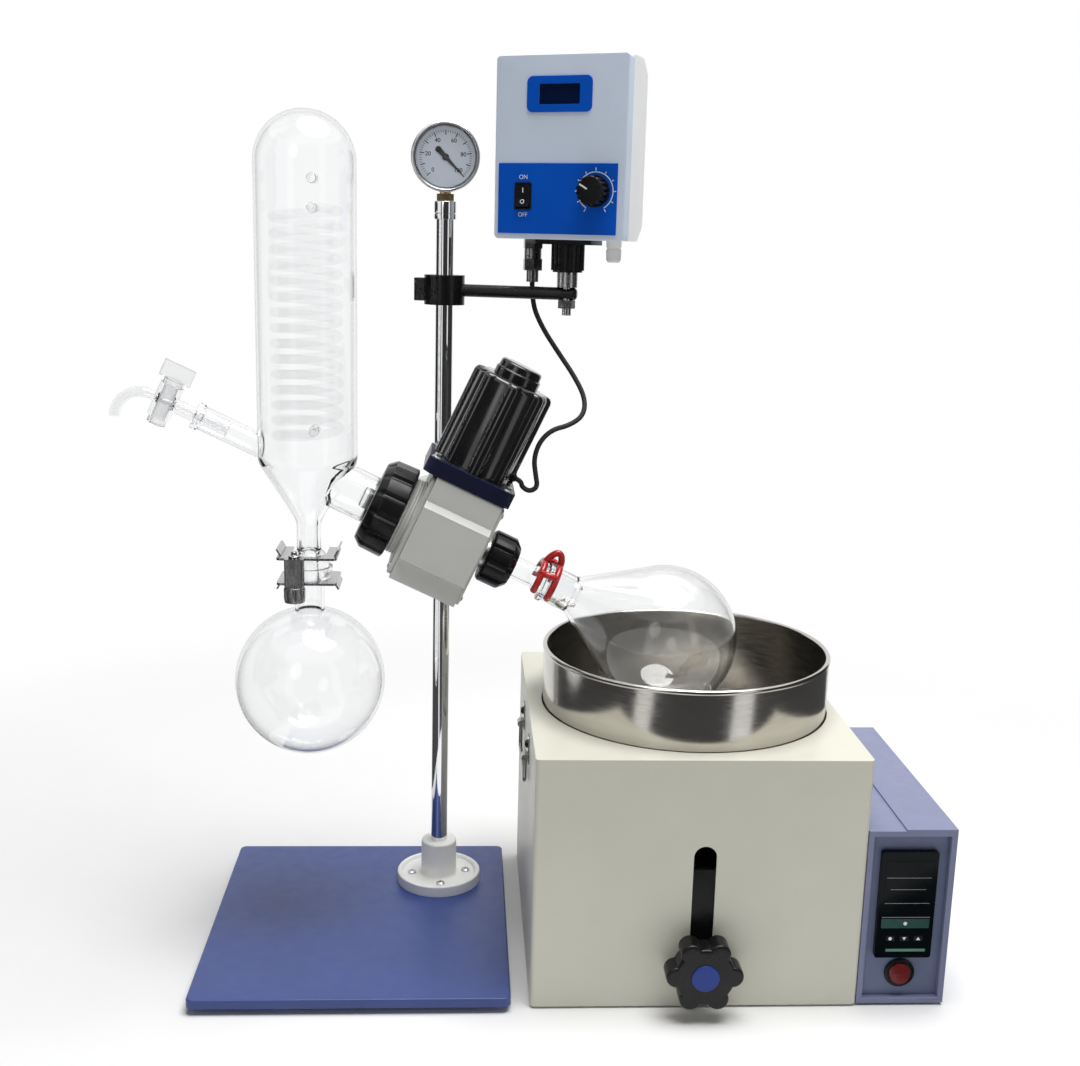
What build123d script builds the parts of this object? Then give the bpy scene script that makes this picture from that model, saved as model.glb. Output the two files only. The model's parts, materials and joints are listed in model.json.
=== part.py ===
from build123d import *
from math import asin, atan2, cos, hypot, pi, radians, sin, sqrt, tan
import os

# Rotary evaporator with its heating bath, in millimetres.
# The front faces -Y, +Z is up, and the feet stand on z = 0 below the middle of the whole set.

# Clearances
RUN = 0.05  # radial play of a shaft in its bearing, and of a piece pushed into a hole
SLIDE = 0.1  # radial play of the head on the column
GAP = 0.3  # room between pieces that move past each other
HEX = 6  # sides of a hexagon

# Stand
COLUMN_X = -78.0
COLUMN_Y = 79.0
COLUMN_R = 8.0
COLUMN_WALL = 2.0
COLUMN_L = 640.0
FOOT_R = 12.0
FOOT_H = 6.0
FOOT_INSET = 24.0
PLATE_W = 267.0
PLATE_D = 288.0
PLATE_T = 8.0
PLATE_CORNER_R = 6.0
PLATE_EDGE_R = 1.5
PLATE_SHIFT_X = -69.5  # middle of the plate, seen from the column
PLATE_SHIFT_Y = -72.0
FLANGE_R = 40.0
FLANGE_T = 7.0
FLANGE_LIP = 3.0
FLANGE_LIP_W = 4.0
HUB_R = 17.0
HUB_H = 42.0
HUB_CHAMFER = 2.0

# Vacuum gauge on top of the column
COLLAR_R = 10.0
COLLAR_SKIRT = 10.0
COLLAR_TOP_T = 6.0
COLLAR_EDGE = 1.0
STEM_R = 4.0
STEM_HEX_R = 7.5
STEM_HEX_H = 7.0
STEM_NECK_R = 5.0
STEM_NECK_H = 1.0
GAUGE_R = 30.0
GAUGE_DEPTH = 26.0
GAUGE_WALL = 2.5
GAUGE_EDGE = 2.0
BEZEL_W = 4.0
BEZEL_T = 1.5
DIAL_T = 1.0
DIAL_DEPTH = 9.0  # front of the case to the front of the dial
LENS_T = 1.5
NEEDLE_L = 21.0
NEEDLE_TAIL = 8.0
NEEDLE_W = 2.4
NEEDLE_T = 0.8
NEEDLE_HUB_R = 3.0
NEEDLE_PIN_R = 0.9
NEEDLE_PIN_TAIL = 1.0
NEEDLE_ANGLE = -45.0  # at rest the needle points down to the right

# Arm that carries the control box
ARM_Z = 583.0
ARM_SWING = 16.8  # degrees towards the front
ARM_REACH = 112.0
ARM_R = 5.5
ARM_TIP = 9.0
ARM_TIP_R = 3.3
ARM_ROOM = 1.0  # between the column and the root of the arm
ARM_CLAMP_R = 18.0
ARM_CLAMP_H = 26.0
ARM_EAR_L = 9.0
ARM_EAR_W = 14.0
ARM_EAR_H = 20.0
ARM_EAR_CORNER = 3.0
ARM_SPLIT = 2.0
STUD_R = 4.0
STUD_TAIL = 6.0
STUD_NUT_R = 7.5
STUD_NUT_H = 7.0
STUD_COLLAR_R = 9.0
STUD_COLLAR_H = 13.0

# Control box
BOX_W = 118.0
BOX_H = 150.0
BOX_D = 50.0
BOX_FRONT = 29.0  # stud axis to the front of the box
BOX_SHIFT = 1.0  # middle of the box, seen from the stud
BOX_YAW = 25.0
BOX_WALL = 2.5
BOX_CORNER_R = 4.0
BOX_LIFT = 46.0  # arm axis to the underside of the box
BOX_BACK_CUT = 13.0
COVER_D = 12.0
SLEEVE_R = 13.0
SLEEVE_RIBS = 12
SLEEVE_RIB_R = 1.6
SLEEVE_FLANGE_W = 52.0
SLEEVE_FLANGE_D = 34.0
SLEEVE_FLANGE_T = 4.0
SLEEVE_CORNER_R = 3.0
PANEL_W = 107.0
PANEL_H = 58.0
PANEL_T = 1.0
PANEL_U = -1.5  # middle of the blue panel on the front of the box
PANEL_V = -41.5
DISPLAY_W = 37.0
DISPLAY_H = 17.0
DISPLAY_V = 43.0
DISPLAY_SINK = 1.0
ROCKER_U = -32.0
ROCKER_V = -39.5
ROCKER_W = 12.0
ROCKER_R = 9.2
ROCKER_LIFT = 3.2
ROCKER_DROP = 1.2
ROCKER_VALLEY = 0.4
ROCKER_SINK = 5.0
KNOB_U = 33.0
KNOB_V = -35.0
KNOB_R = 12.0
KNOB_SKIRT_R = 13.0
KNOB_H = 15.0
KNOB_EDGE_R = 1.5
KNOB_SKIRT_H = 3.0
KNOB_FLUTES = 16
KNOB_FLUTE_R = 1.2
KNOB_SHAFT_R = 3.0
KNOB_SHAFT_L = 9.0
GLAND_U = -38.0
GLAND_BACK = 10.0
GLAND_R = 9.0
GLAND_BODY_R = 7.65
GLAND_TIP_R = 5.4
GLAND_HEX_H = 8.0
GLAND_BODY_H = 17.0
GLAND_DOME_H = 10.0
INLET_EDGE = 16.0  # from the box's right end to the middle of the inlet
INLET_R = 6.5
INLET_H = 18.0
FUSE_EDGE = 21.0  # from the box's right end to the middle of the fuse holder
FUSE_R = 6.0
FUSE_H = 11.0

# Drive head: s runs along its axis down to the flask, t up to the motor
HEAD_TILT = 25.0
HEAD_REACH = 65.0
HEAD_Z = 375.0
HOUSING_S0 = -26.0
HOUSING_S1 = 35.0
HOUSING_T0 = -47.0
HOUSING_T1 = 50.0
HOUSING_BACK = 40.0
HOUSING_FRONT = 39.0
HOUSING_PROUD = 6.0
HOUSING_PROUD_T0 = -26.0
HOUSING_PROUD_T1 = 23.0
HOUSING_BEVEL = 5.0
HOUSING_EDGE_R = 2.0
CLAMP_R = 22.0
CLAMP_H = 74.0
CLAMP_NECK_W = 40.0
CLAMP_NECK_H = 56.0
CLAMP_NECK_CORNER = 4.0
CLAMP_BOSS_R = 11.0
CLAMP_BOSS_L = 9.0
SCREW_R = 4.0
CLAMP_KNOB_R = 20.0
CLAMP_KNOB_H = 16.0
CLAMP_KNOB_EDGE_R = 2.0
CLAMP_KNOB_LOBES = 5
CLAMP_LOBE_R = 7.0

# Motor on the head
MOTOR_FLANGE_W = 80.0
MOTOR_FLANGE_T = 14.0
MOTOR_FLANGE_CUT = 5.0
MOTOR_CORE_R = 33.0
MOTOR_RIBS = 8
MOTOR_RIB_R = 7.0
MOTOR_RIB_AT = 29.5
MOTOR_L = 84.0
MOTOR_TOP_R = 5.0
MOTOR_CAP_R = 20.5
MOTOR_CAP_H = 15.0
MOTOR_CAP_EDGE = 3.0
MOTOR_SHAFT_R = 5.0
MOTOR_SHAFT_IN = 40.0
CORD_R = 2.2
CORD_BOSS_R = 4.5
CORD_BOSS_S = 38.0
CORD_BOSS_T = 72.0
CORD_LEAD = 5.0
CORD_DROP = 18.0
CORD_ARC_SHARE = 0.45  # of the shorter run at a corner

# Bevel drive inside the head
TOOTH_MODULE = 1.75
PINION_TEETH = 12
GEAR_TEETH = 36
TOOTH_FACE = 9.0
TOOTH_PLAY = 0.3  # share of the tooth thickness taken off for play
TOOTH_ADDENDUM = 0.8  # in modules
TOOTH_DEDENDUM = 1.05
TOOTH_FLANK = 20.0
TOOTH_BURY = 1.4  # depth of a tooth below the pitch cone, in root depths
ROOT_MARGIN = 0.05  # share of the cone that the roots run on past the ends of the teeth
GEAR_BACK_S = 20.0
GEAR_HUB_T = 2.5
SHAFT_R = 15.0
SHAFT_BORE_R = 11.5
SHAFT_S0 = -30.0
SHAFT_S1 = 60.0
BEARING_R = 26.0
BEARING_W = 12.0
GEAR_ROOM_R = 36.0
PINION_PORT_R = 13.0

# Nuts and seal on the head
RING_R = 35.0
RING_L = 13.0
SPIGOT_R = 30.0
SPIGOT_L = 13.0
SEAL_R = 22.0
SEAL_L = 8.0
RING_BORE_R = 16.0
UNION_R = 42.0
UNION_END_R = 35.0
UNION_L = 28.0
UNION_END_T = 6.5
UNION_EDGE = 1.0
UNION_RIBS = 14
UNION_RIB_R = 4.0
FLASK_NUT_S0 = 43.5
FLASK_NUT_R = 24.0
FLASK_NUT_L = 26.5
FLASK_NUT_EDGE = 2.0
FLASK_NUT_NOSE_R = 18.0
FLASK_NUT_NOSE_L = 6.0
FLASK_NUT_NOTCHES = 10
FLASK_NUT_NOTCH_R = 3.6

# Glassware
TUBE_R = 10.0
TUBE_WALL = 2.5
TUBE_S0 = -75.0
JOINT_S0 = 100.0
JOINT_L = 28.0
JOINT_R = 14.0
JOINT_TAPER = 0.05  # radius lost per millimetre
TUBE_FLARE = 6.0
TUBE_DRIP = 7.0
CLIP_WIRE_R = 2.0
CLIP_ARC = 220.0
CLIP_BACK = 6.0
CLIP_FRONT = 2.0
CLIP_SIDES = 8
CLIP_LOOP_RISE = 11.0
CLIP_BAR_TURN = 50.0
CLIP_BAR_ROOM = 1.6
CLIP_TURN = 12.0  # the loop leans this much from the top towards the front
FLASK_WALL = 2.2
FLASK_R = 65.5
FLASK_S = 222.0
FLASK_NECK_R = 16.5
FLASK_LIP_R = 18.0
FLASK_LIP_L = 3.5
CONDENSER_SHIFT = -115.0
CONDENSER_R = 42.5
CONDENSER_WALL = 2.5
CONDENSER_TOP = 729.0
CONDENSER_SHOULDER = 437.0
CONDENSER_NECK_R = 10.5
CONDENSER_NECK_TOP = 384.0
ARM_GLASS_R = 21.0
ARM_LIP_R = 28.0
ARM_LIP_T = 5.0
NOZZLE_R = 5.0
NOZZLE_BORE_R = 3.0
NOZZLE_L = 26.0
NOZZLE_ROOT = 6.0
VACUUM_DROP = 53.0  # from the condenser's top to its vacuum nozzle
COIL_R = 27.0
COIL_WIRE_R = 4.0
COIL_LEG_R = 3.2
COIL_PITCH = 13.0
COIL_HEADROOM = 24.0  # least height between the coil's end and the vacuum nozzle
COIL_Z = 456.0
BALL_Z = 345.0
BALL_R = 17.5
BALL_BORE_R = 7.0
BALL_END_R = 9.0
CUP_PLAY = 0.1
CUP_WALL = 2.9
CUP_DROP = 1.0  # the cup ends this far below the middle of the ball
RECEIVER_R = 66.0
RECEIVER_Z = 240.0
RECEIVER_NECK_R = 13.0
RECEIVER_WALL = 2.4

# Feed stopcock on the condenser
FEED_RISE = 2.0
FEED_SOCKET_R = 10.5
FEED_SOCKET_S = -233.0
FEED_LIP_R = 12.0
FEED_LIP_L = 5.0
FEED_PLUG_R = 8.0
FEED_PLUG_L = 30.0
FEED_BODY_R = 6.5
FEED_BARREL_S = -260.0
FEED_BARREL_R = 10.0
FEED_BARREL_H = 30.0
FEED_BORE_R = 2.5
SPOUT_R = 4.5
SPOUT_BORE_R = 2.5
SPOUT_OUT = 3.0
SPOUT_BEND_R = 22.0
SPOUT_BEND = 112.0
KEY_R = 6.0
KEY_HEAD_R = 8.5
KEY_HEAD_H = 4.0
KEY_GRIP_W = 28.0
KEY_GRIP_H = 14.0
KEY_GRIP_T = 7.0
KEY_NUT_R = 8.0
KEY_NUT_H = 6.0

# Fork clamp on the ball joint
FORK_W = 52.0
FORK_D = 46.0
FORK_T = 2.0
FORK_TOP_SLOT_R = 15.3
FORK_LOW_SLOT_R = 17.3
FORK_SPINE_X = -10.0
FORK_SPINE_W = 17.0
FORK_SPINE_T = 7.0
FORK_SPINE_CORNER = 2.0
FORK_NUT_R = 8.5
FORK_NUT_H = 14.0

# Heating bath
BATH_X = 140.5
BATH_Y = 15.0
BATH_W = 277.0
BATH_D = 290.0
BATH_TOP = 221.0
BATH_FOOT_H = 2.0
BATH_SHEET = 1.5
BATH_CORNER_R = 4.0
POT_SHIFT = 3.0  # the pot sits a little right of the middle
POT_R = 125.0
POT_WALL = 1.5
POT_DEPTH = 140.0
POT_CORNER_R = 8.0
POT_RIM_Z = 274.0
POT_RIM_R = 2.25
POT_ROOM = 2.5  # between the pot and the hole in the top plate
HEATER_R = 95.0
HEATER_BORE_R = 65.0
HEATER_T = 8.0
CARRIAGE_R = 102.0
CARRIAGE_T = 3.0
CARRIAGE_W = 50.0
CARRIAGE_BELOW = 16.0
SLOT_R = 9.5
SLOT_TOP = 146.0
LIFT_Z = 43.0
LIFT_STUD_R = 5.0
LIFT_STUD_L = 22.0
STAR_R = 32.0
STAR_T = 18.0
STAR_LOBES = 6
STAR_LOBE_R = 9.0
STAR_CORE_R = 25.0
STAR_BOSS_R = 14.0
STAR_BOSS_L = 9.0
STAR_EDGE_R = 2.5
CAP_R = 11.5
CAP_T = 2.5
CAP_EDGE_R = 1.0
CAP_SINK = 1.0

# Control pod at the side of the bath
POD_W = 75.0
POD_D = 240.0
POD_Z0 = 2.0
POD_Z1 = 159.0
POD_SETBACK = 1.0
POD_SHEET = 1.5
POD_FRAME = 5.0
POD_RECESS = 6.0
POD_STEP = 1.5
POD_STEP_SHARE = 0.42
CONTROLLER_W = 48.0
CONTROLLER_H = 96.0
CONTROLLER_Z = 92.0
CONTROLLER_SHIFT = -0.5
CONTROLLER_LIP = 1.5
CONTROLLER_BEZEL_T = 5.0
CONTROLLER_CORNER_R = 2.0
CONTROLLER_DEPTH = 60.0
KEY_COUNT = 3
BUTTON_W = 8.0
BUTTON_H = 5.0
BUTTON_L = 3.2
BUTTON_PROUD = 0.8
BUTTON_TRAVEL = 0.5
BUTTON_PITCH = 12.0
BUTTON_Z = -30.0  # from the middle of the controller
SWITCH_Z = 28.0
SWITCH_R = 10.5
SWITCH_BEZEL_W = 2.0
SWITCH_BEZEL_T = 2.0
SWITCH_WELL = 12.0
SWITCH_WALL = 1.0
SWITCH_FLOOR = 2.0

# Places worked out from the sizes
PLATE_TOP = FOOT_H + PLATE_T
COLUMN_TOP = PLATE_TOP + COLUMN_L
COLLAR_TOP = COLUMN_TOP + COLLAR_TOP_T
GAUGE_Z = COLLAR_TOP + STEM_HEX_H + GAUGE_R
HEAD_Y = COLUMN_Y - HEAD_REACH
CONDENSER_X = COLUMN_X + CONDENSER_SHIFT
VACUUM_Z = CONDENSER_TOP - VACUUM_DROP
COIL_TURNS = int((VACUUM_Z - COIL_HEADROOM - COIL_Z) / COIL_PITCH)
INLET_U = BOX_W / 2 - INLET_EDGE
FUSE_U = BOX_W / 2 - FUSE_EDGE
POT_X = BATH_X + POT_SHIFT
BATH_FRONT = BATH_Y - BATH_D / 2
BATH_RIGHT = BATH_X + BATH_W / 2
SWING = radians(ARM_SWING)
TILT = radians(HEAD_TILT)
YAW = radians(BOX_YAW)
ALONG = Vector(cos(TILT), 0, -sin(TILT))
ACROSS = Vector(sin(TILT), 0, cos(TILT))
MOTOR_T0 = HOUSING_T1 + MOTOR_FLANGE_T
MOTOR_T1 = MOTOR_T0 + MOTOR_L
STUD_X = COLUMN_X + ARM_REACH * cos(SWING)
STUD_Y = COLUMN_Y - ARM_REACH * sin(SWING)
BOX_X = STUD_X + BOX_SHIFT * cos(YAW)
BOX_Y = STUD_Y - BOX_SHIFT * sin(YAW)
BOX_Z0 = ARM_Z + BOX_LIFT
BOX_BACK = BOX_FRONT - BOX_D


# Planes: a turned piece has its axis along the local x of its plane
def upright(x, y):
    return Plane(origin=(x, y, 0), x_dir=(0, 0, 1), z_dir=(0, -1, 0))


def facing(x, y, z):
    return Plane(origin=(x, y, z), x_dir=(1, 0, 0), z_dir=(0, -1, 0))


def head_plane(angle):
    """A plane along the head axis, turned from the top towards the front."""
    turned = radians(angle)
    outward = ACROSS * cos(turned) + Vector(0, -1, 0) * sin(turned)
    return Plane(HEAD.origin, x_dir=ALONG, z_dir=ALONG.cross(outward))


def pointing_forward(x, y, z):
    return Plane(origin=(x, y, z), x_dir=(0, -1, 0), z_dir=(1, 0, 0))


STAND = Plane((COLUMN_X, COLUMN_Y, 0))
POST = upright(COLUMN_X, COLUMN_Y)
PLATE = Plane((COLUMN_X + PLATE_SHIFT_X, COLUMN_Y + PLATE_SHIFT_Y, 0))
BATH = Plane((BATH_X, BATH_Y, 0))
POT = upright(POT_X, BATH_Y)
GAUGE = pointing_forward(COLUMN_X, COLUMN_Y, GAUGE_Z)
GAUGE_FACE = facing(COLUMN_X, COLUMN_Y, GAUGE_Z)
ARM = Plane((COLUMN_X, COLUMN_Y, ARM_Z), x_dir=(cos(SWING), -sin(SWING), 0), z_dir=(0, 0, 1))
ARM_ROD = Plane((COLUMN_X, COLUMN_Y, ARM_Z), x_dir=(0, 0, 1), z_dir=(cos(SWING), -sin(SWING), 0))
BOX = Plane(
    (BOX_X, BOX_Y, BOX_Z0 + BOX_H / 2),
    x_dir=(cos(YAW), -sin(YAW), 0),
    z_dir=(-sin(YAW), -cos(YAW), 0),
)
BOX_UNDER = Plane((BOX_X, BOX_Y, BOX_Z0), x_dir=(cos(YAW), -sin(YAW), 0), z_dir=(0, 0, -1))
HEAD = Plane((COLUMN_X, HEAD_Y, HEAD_Z), x_dir=ALONG, z_dir=(0, -1, 0))
HEAD_END = Plane(HEAD.origin, x_dir=ACROSS, z_dir=ALONG)
MOTOR = Plane(HEAD.origin, x_dir=ALONG, z_dir=ACROSS)
MOTOR_AXIS = Plane(HEAD.origin, x_dir=ACROSS, z_dir=(0, -1, 0))
FEED = Plane(HEAD.origin + ACROSS * FEED_RISE, x_dir=ALONG, z_dir=(0, -1, 0))
FEED_BARREL = Plane(FEED.origin + ALONG * FEED_BARREL_S, x_dir=ALONG, z_dir=ACROSS)
CONDENSER = upright(CONDENSER_X, HEAD_Y)
JOINT = Plane((CONDENSER_X, HEAD_Y, 0))


# Operations used by many pieces
def turn(plane, outline, mode=Mode.ADD):
    """Turn a closed outline of (along, radius) points about the plane's local x."""
    with BuildSketch(plane) as profile:
        with BuildLine():
            Polyline(*outline, close=True)
        make_face()
    revolve(profile.sketch, axis=Axis(plane.origin, plane.x_dir), mode=mode)


def rod(plane, radius, length, at=(0, 0), bore=0, mode=Mode.ADD):
    """Raise a cylinder, or a tube, from a plane."""
    with BuildSketch(plane) as section:
        with Locations(at):
            Circle(radius)
            if bore:
                Circle(bore, mode=Mode.SUBTRACT)
    extrude(section.sketch, amount=length, mode=mode)


def block(plane, width, height, depth, at=(0, 0), corner=0, mode=Mode.ADD):
    """Raise a box from a plane, with round corners where asked."""
    with BuildSketch(plane) as section:
        with Locations(at):
            if corner:
                RectangleRounded(width, height, corner)
            else:
                Rectangle(width, height)
    extrude(section.sketch, amount=depth, mode=mode)


def prism(plane, radius, sides, depth, at=(0, 0), mode=Mode.ADD):
    """Raise a regular prism, such as a nut, from a plane."""
    with BuildSketch(plane) as section:
        with Locations(at):
            RegularPolygon(radius, sides)
    extrude(section.sketch, amount=depth, mode=mode)


def star(plane, core, tip, lobe, count, depth):
    """Raise a knob with round lobes from a plane."""
    with BuildSketch(plane) as section:
        Circle(core)
        with PolarLocations(tip - lobe, count):
            Circle(lobe)
    extrude(section.sketch, amount=depth)


def rocker_body(plane, width, radius, sink, lift, drop, valley):
    """A rocker that is round about its pivot, with one end pressed in."""
    across = Plane(plane.origin, x_dir=(0, 0, 1), z_dir=plane.x_dir)
    with BuildSketch(across.offset(-width / 2)) as section:
        with BuildLine():
            Polyline(
                (-radius, -sink),
                (radius, -sink),
                (radius, drop),
                (0, valley),
                (-radius, lift),
                close=True,
            )
        make_face()
        Circle(radius, mode=Mode.INTERSECT)
    extrude(section.sketch, amount=width)


# Stand
with BuildPart() as rubber_feet:
    with BuildSketch(PLATE):
        with GridLocations(PLATE_W - 2 * FOOT_INSET, PLATE_D - 2 * FOOT_INSET, 2, 2):
            Circle(FOOT_R)
    extrude(amount=FOOT_H)
    with BuildSketch(BATH):
        with GridLocations(BATH_W - 2 * FOOT_INSET, BATH_D - 2 * FOOT_INSET, 2, 2):
            Circle(FOOT_R)
    extrude(amount=BATH_FOOT_H)

with BuildPart() as base_plate:
    block(PLATE.offset(FOOT_H), PLATE_W, PLATE_D, PLATE_T, corner=PLATE_CORNER_R)
    fillet(base_plate.faces().sort_by(Axis.Z)[-1].edges(), PLATE_EDGE_R)

with BuildPart() as column_flange:
    floor = PLATE_TOP + FLANGE_T
    turn(
        POST,
        [
            (PLATE_TOP, COLUMN_R + RUN),
            (PLATE_TOP, FLANGE_R),
            (floor + FLANGE_LIP, FLANGE_R),
            (floor + FLANGE_LIP, FLANGE_R - FLANGE_LIP_W),
            (floor, FLANGE_R - FLANGE_LIP_W - FLANGE_LIP / 2),
            (floor, HUB_R + FLANGE_LIP),
            (floor + FLANGE_LIP, HUB_R),
            (PLATE_TOP + HUB_H - HUB_CHAMFER, HUB_R),
            (PLATE_TOP + HUB_H, HUB_R - HUB_CHAMFER),
            (PLATE_TOP + HUB_H, COLUMN_R + RUN),
        ],
    )

with BuildPart() as column:
    rod(STAND.offset(PLATE_TOP), COLUMN_R, COLUMN_L, bore=COLUMN_R - COLUMN_WALL)

# Vacuum gauge
with BuildPart() as column_collar:
    turn(
        POST,
        [
            (COLUMN_TOP - COLLAR_SKIRT, COLUMN_R + RUN),
            (COLUMN_TOP - COLLAR_SKIRT, COLLAR_R),
            (COLLAR_TOP - COLLAR_EDGE, COLLAR_R),
            (COLLAR_TOP, COLLAR_R - COLLAR_EDGE),
            (COLLAR_TOP, STEM_R + RUN),
            (COLUMN_TOP + RUN, STEM_R + RUN),
            (COLUMN_TOP + RUN, COLUMN_R + RUN),
        ],
    )

with BuildPart() as gauge_stem:
    rod(STAND.offset(COLUMN_TOP - COLLAR_SKIRT), STEM_R, COLLAR_SKIRT + COLLAR_TOP_T)
    prism(STAND.offset(COLLAR_TOP), STEM_HEX_R, HEX, STEM_HEX_H - STEM_NECK_H)
    neck = STAND.offset(COLLAR_TOP + STEM_HEX_H - STEM_NECK_H)
    rod(neck, STEM_NECK_R, STEM_NECK_H + GAUGE_WALL)

with BuildPart() as gauge_case:
    half = GAUGE_DEPTH / 2
    bore = GAUGE_R - GAUGE_WALL
    turn(
        GAUGE,
        [
            (-half, 0),
            (-half, GAUGE_R - GAUGE_EDGE),
            (GAUGE_EDGE - half, GAUGE_R),
            (half - GAUGE_EDGE, GAUGE_R),
            (half, GAUGE_R - GAUGE_EDGE),
            (half, GAUGE_R - BEZEL_W),
            (half - BEZEL_T, GAUGE_R - BEZEL_W),
            (half - BEZEL_T, bore),
            (GAUGE_WALL - half, bore),
            (GAUGE_WALL - half, 0),
        ],
    )
    neck = STAND.offset(GAUGE_Z - GAUGE_R - STEM_NECK_H)
    rod(neck, STEM_NECK_R + RUN, 2 * STEM_NECK_H + GAUGE_WALL, mode=Mode.SUBTRACT)

DIAL_FRONT = GAUGE_DEPTH / 2 - DIAL_DEPTH
with BuildPart() as gauge_dial:
    disc_r = GAUGE_R - GAUGE_WALL - GAP / 2
    rod(GAUGE_FACE.offset(DIAL_FRONT - DIAL_T), disc_r, DIAL_T, bore=NEEDLE_PIN_R + RUN)

with BuildPart() as gauge_needle:
    lean = radians(NEEDLE_ANGLE)
    pointer = Plane(GAUGE_FACE.origin, x_dir=(cos(lean), 0, sin(lean)), z_dir=(0, -1, 0))
    with BuildSketch(pointer.offset(DIAL_FRONT + GAP)):
        with BuildLine():
            Polyline(
                (-NEEDLE_TAIL, -NEEDLE_W),
                (NEEDLE_L, -NEEDLE_W / 8),
                (NEEDLE_L, NEEDLE_W / 8),
                (-NEEDLE_TAIL, NEEDLE_W),
                close=True,
            )
        make_face()
        Circle(NEEDLE_HUB_R)
    extrude(amount=NEEDLE_T)
    pin_l = NEEDLE_PIN_TAIL + DIAL_T
    rod(GAUGE_FACE.offset(DIAL_FRONT - pin_l), NEEDLE_PIN_R, pin_l + GAP)

with BuildPart() as gauge_lens:
    disc_r = GAUGE_R - GAUGE_WALL - GAP / 2
    rod(GAUGE_FACE.offset(GAUGE_DEPTH / 2 - BEZEL_T - LENS_T), disc_r, LENS_T)

# Arm of the control box
with BuildPart() as arm_clamp:
    half = ARM_CLAMP_H / 2
    rod(ARM.offset(-half), ARM_CLAMP_R, ARM_CLAMP_H)
    ear_l = ARM_CLAMP_R + ARM_EAR_L
    ear = ARM.offset(-ARM_EAR_H / 2)
    block(ear, ear_l, ARM_EAR_W, ARM_EAR_H, at=(-ear_l / 2, 0), corner=ARM_EAR_CORNER)
    block(ARM.offset(-half), ear_l, ARM_SPLIT, ARM_CLAMP_H, at=(-ear_l / 2, 0), mode=Mode.SUBTRACT)
    rod(ARM.offset(-half), COLUMN_R + RUN, ARM_CLAMP_H, mode=Mode.SUBTRACT)
    rod(ARM_ROD, ARM_R + RUN, 2 * ARM_CLAMP_R, mode=Mode.SUBTRACT)

with BuildPart() as support_arm:
    root = COLUMN_R + ARM_ROOM
    rod(ARM_ROD.offset(root), ARM_R, ARM_REACH + ARM_TIP - root)
    fillet(support_arm.faces().sort_by(Axis(ARM.origin, ARM.x_dir))[-1].edges(), ARM_TIP_R)
    rod(ARM.offset(-ARM_R), STUD_R + RUN, 2 * ARM_R, at=(ARM_REACH, 0), mode=Mode.SUBTRACT)

with BuildPart() as box_stud:
    under = Plane((STUD_X, STUD_Y, ARM_Z - ARM_R - RUN), z_dir=(0, 0, -1))
    rod(under, STUD_R, STUD_NUT_H + STUD_TAIL)
    prism(under, STUD_NUT_R, HEX, STUD_NUT_H)
    rod(under, STUD_R, -(BOX_LIFT + ARM_R + RUN))
    rod(Plane((STUD_X, STUD_Y, ARM_Z + ARM_R + RUN)), STUD_COLLAR_R, STUD_COLLAR_H)

with BuildPart() as box_sleeve:
    sleeve_l = BOX_LIFT - ARM_R - RUN - STUD_COLLAR_H
    mouth = Plane((STUD_X, STUD_Y, BOX_Z0), x_dir=BOX.x_dir, z_dir=(0, 0, -1))
    rod(mouth, SLEEVE_R, sleeve_l)
    with BuildSketch(mouth):
        with PolarLocations(SLEEVE_R, SLEEVE_RIBS):
            Circle(SLEEVE_RIB_R)
    extrude(amount=sleeve_l - SLEEVE_RIB_R)
    block(mouth, SLEEVE_FLANGE_W, SLEEVE_FLANGE_D, SLEEVE_FLANGE_T, corner=SLEEVE_CORNER_R)
    rod(mouth, STUD_R + RUN, sleeve_l, mode=Mode.SUBTRACT)

# Control box
FACE = BOX.offset(BOX_FRONT)
with BuildPart() as control_box_body:
    side = Plane(BOX.origin, x_dir=(0, 0, 1), z_dir=BOX.x_dir)
    seam = BOX_FRONT - COVER_D
    with BuildSketch(side.offset(-BOX_W / 2)):
        with BuildLine():
            Polyline(
                (-BOX_H / 2, seam),
                (-BOX_H / 2, BOX_BACK + BOX_BACK_CUT),
                (BOX_BACK_CUT - BOX_H / 2, BOX_BACK),
                (BOX_H / 2 - BOX_BACK_CUT, BOX_BACK),
                (BOX_H / 2, BOX_BACK + BOX_BACK_CUT),
                (BOX_H / 2, seam),
                close=True,
            )
        make_face()
    extrude(amount=BOX_W)
    seam_face = control_box_body.faces().sort_by(Axis(BOX.origin, BOX.z_dir))[-1]
    offset(amount=-BOX_WALL, openings=seam_face)

with BuildPart() as control_box_cover:
    block(FACE.offset(-COVER_D), BOX_W, BOX_H, COVER_D, corner=BOX_CORNER_R)
    front = control_box_cover.faces().sort_by(Axis(BOX.origin, BOX.z_dir))[-1]
    fillet(front.edges(), BOX_WALL / 2)
    inner_w = BOX_W - 2 * BOX_WALL
    inner_h = BOX_H - 2 * BOX_WALL
    block(FACE.offset(-COVER_D), inner_w, inner_h, COVER_D - BOX_WALL, mode=Mode.SUBTRACT)
    sight = FACE.offset(-BOX_WALL)
    block(sight, DISPLAY_W, DISPLAY_H, BOX_WALL, at=(PANEL_U, DISPLAY_V), mode=Mode.SUBTRACT)
    slot_w = ROCKER_W + 2 * GAP
    slot_h = 2 * (ROCKER_R + GAP)
    block(sight, slot_w, slot_h, BOX_WALL, at=(ROCKER_U, ROCKER_V), mode=Mode.SUBTRACT)
    rod(sight, KNOB_SHAFT_R + GAP, BOX_WALL, at=(KNOB_U, KNOB_V), mode=Mode.SUBTRACT)

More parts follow.
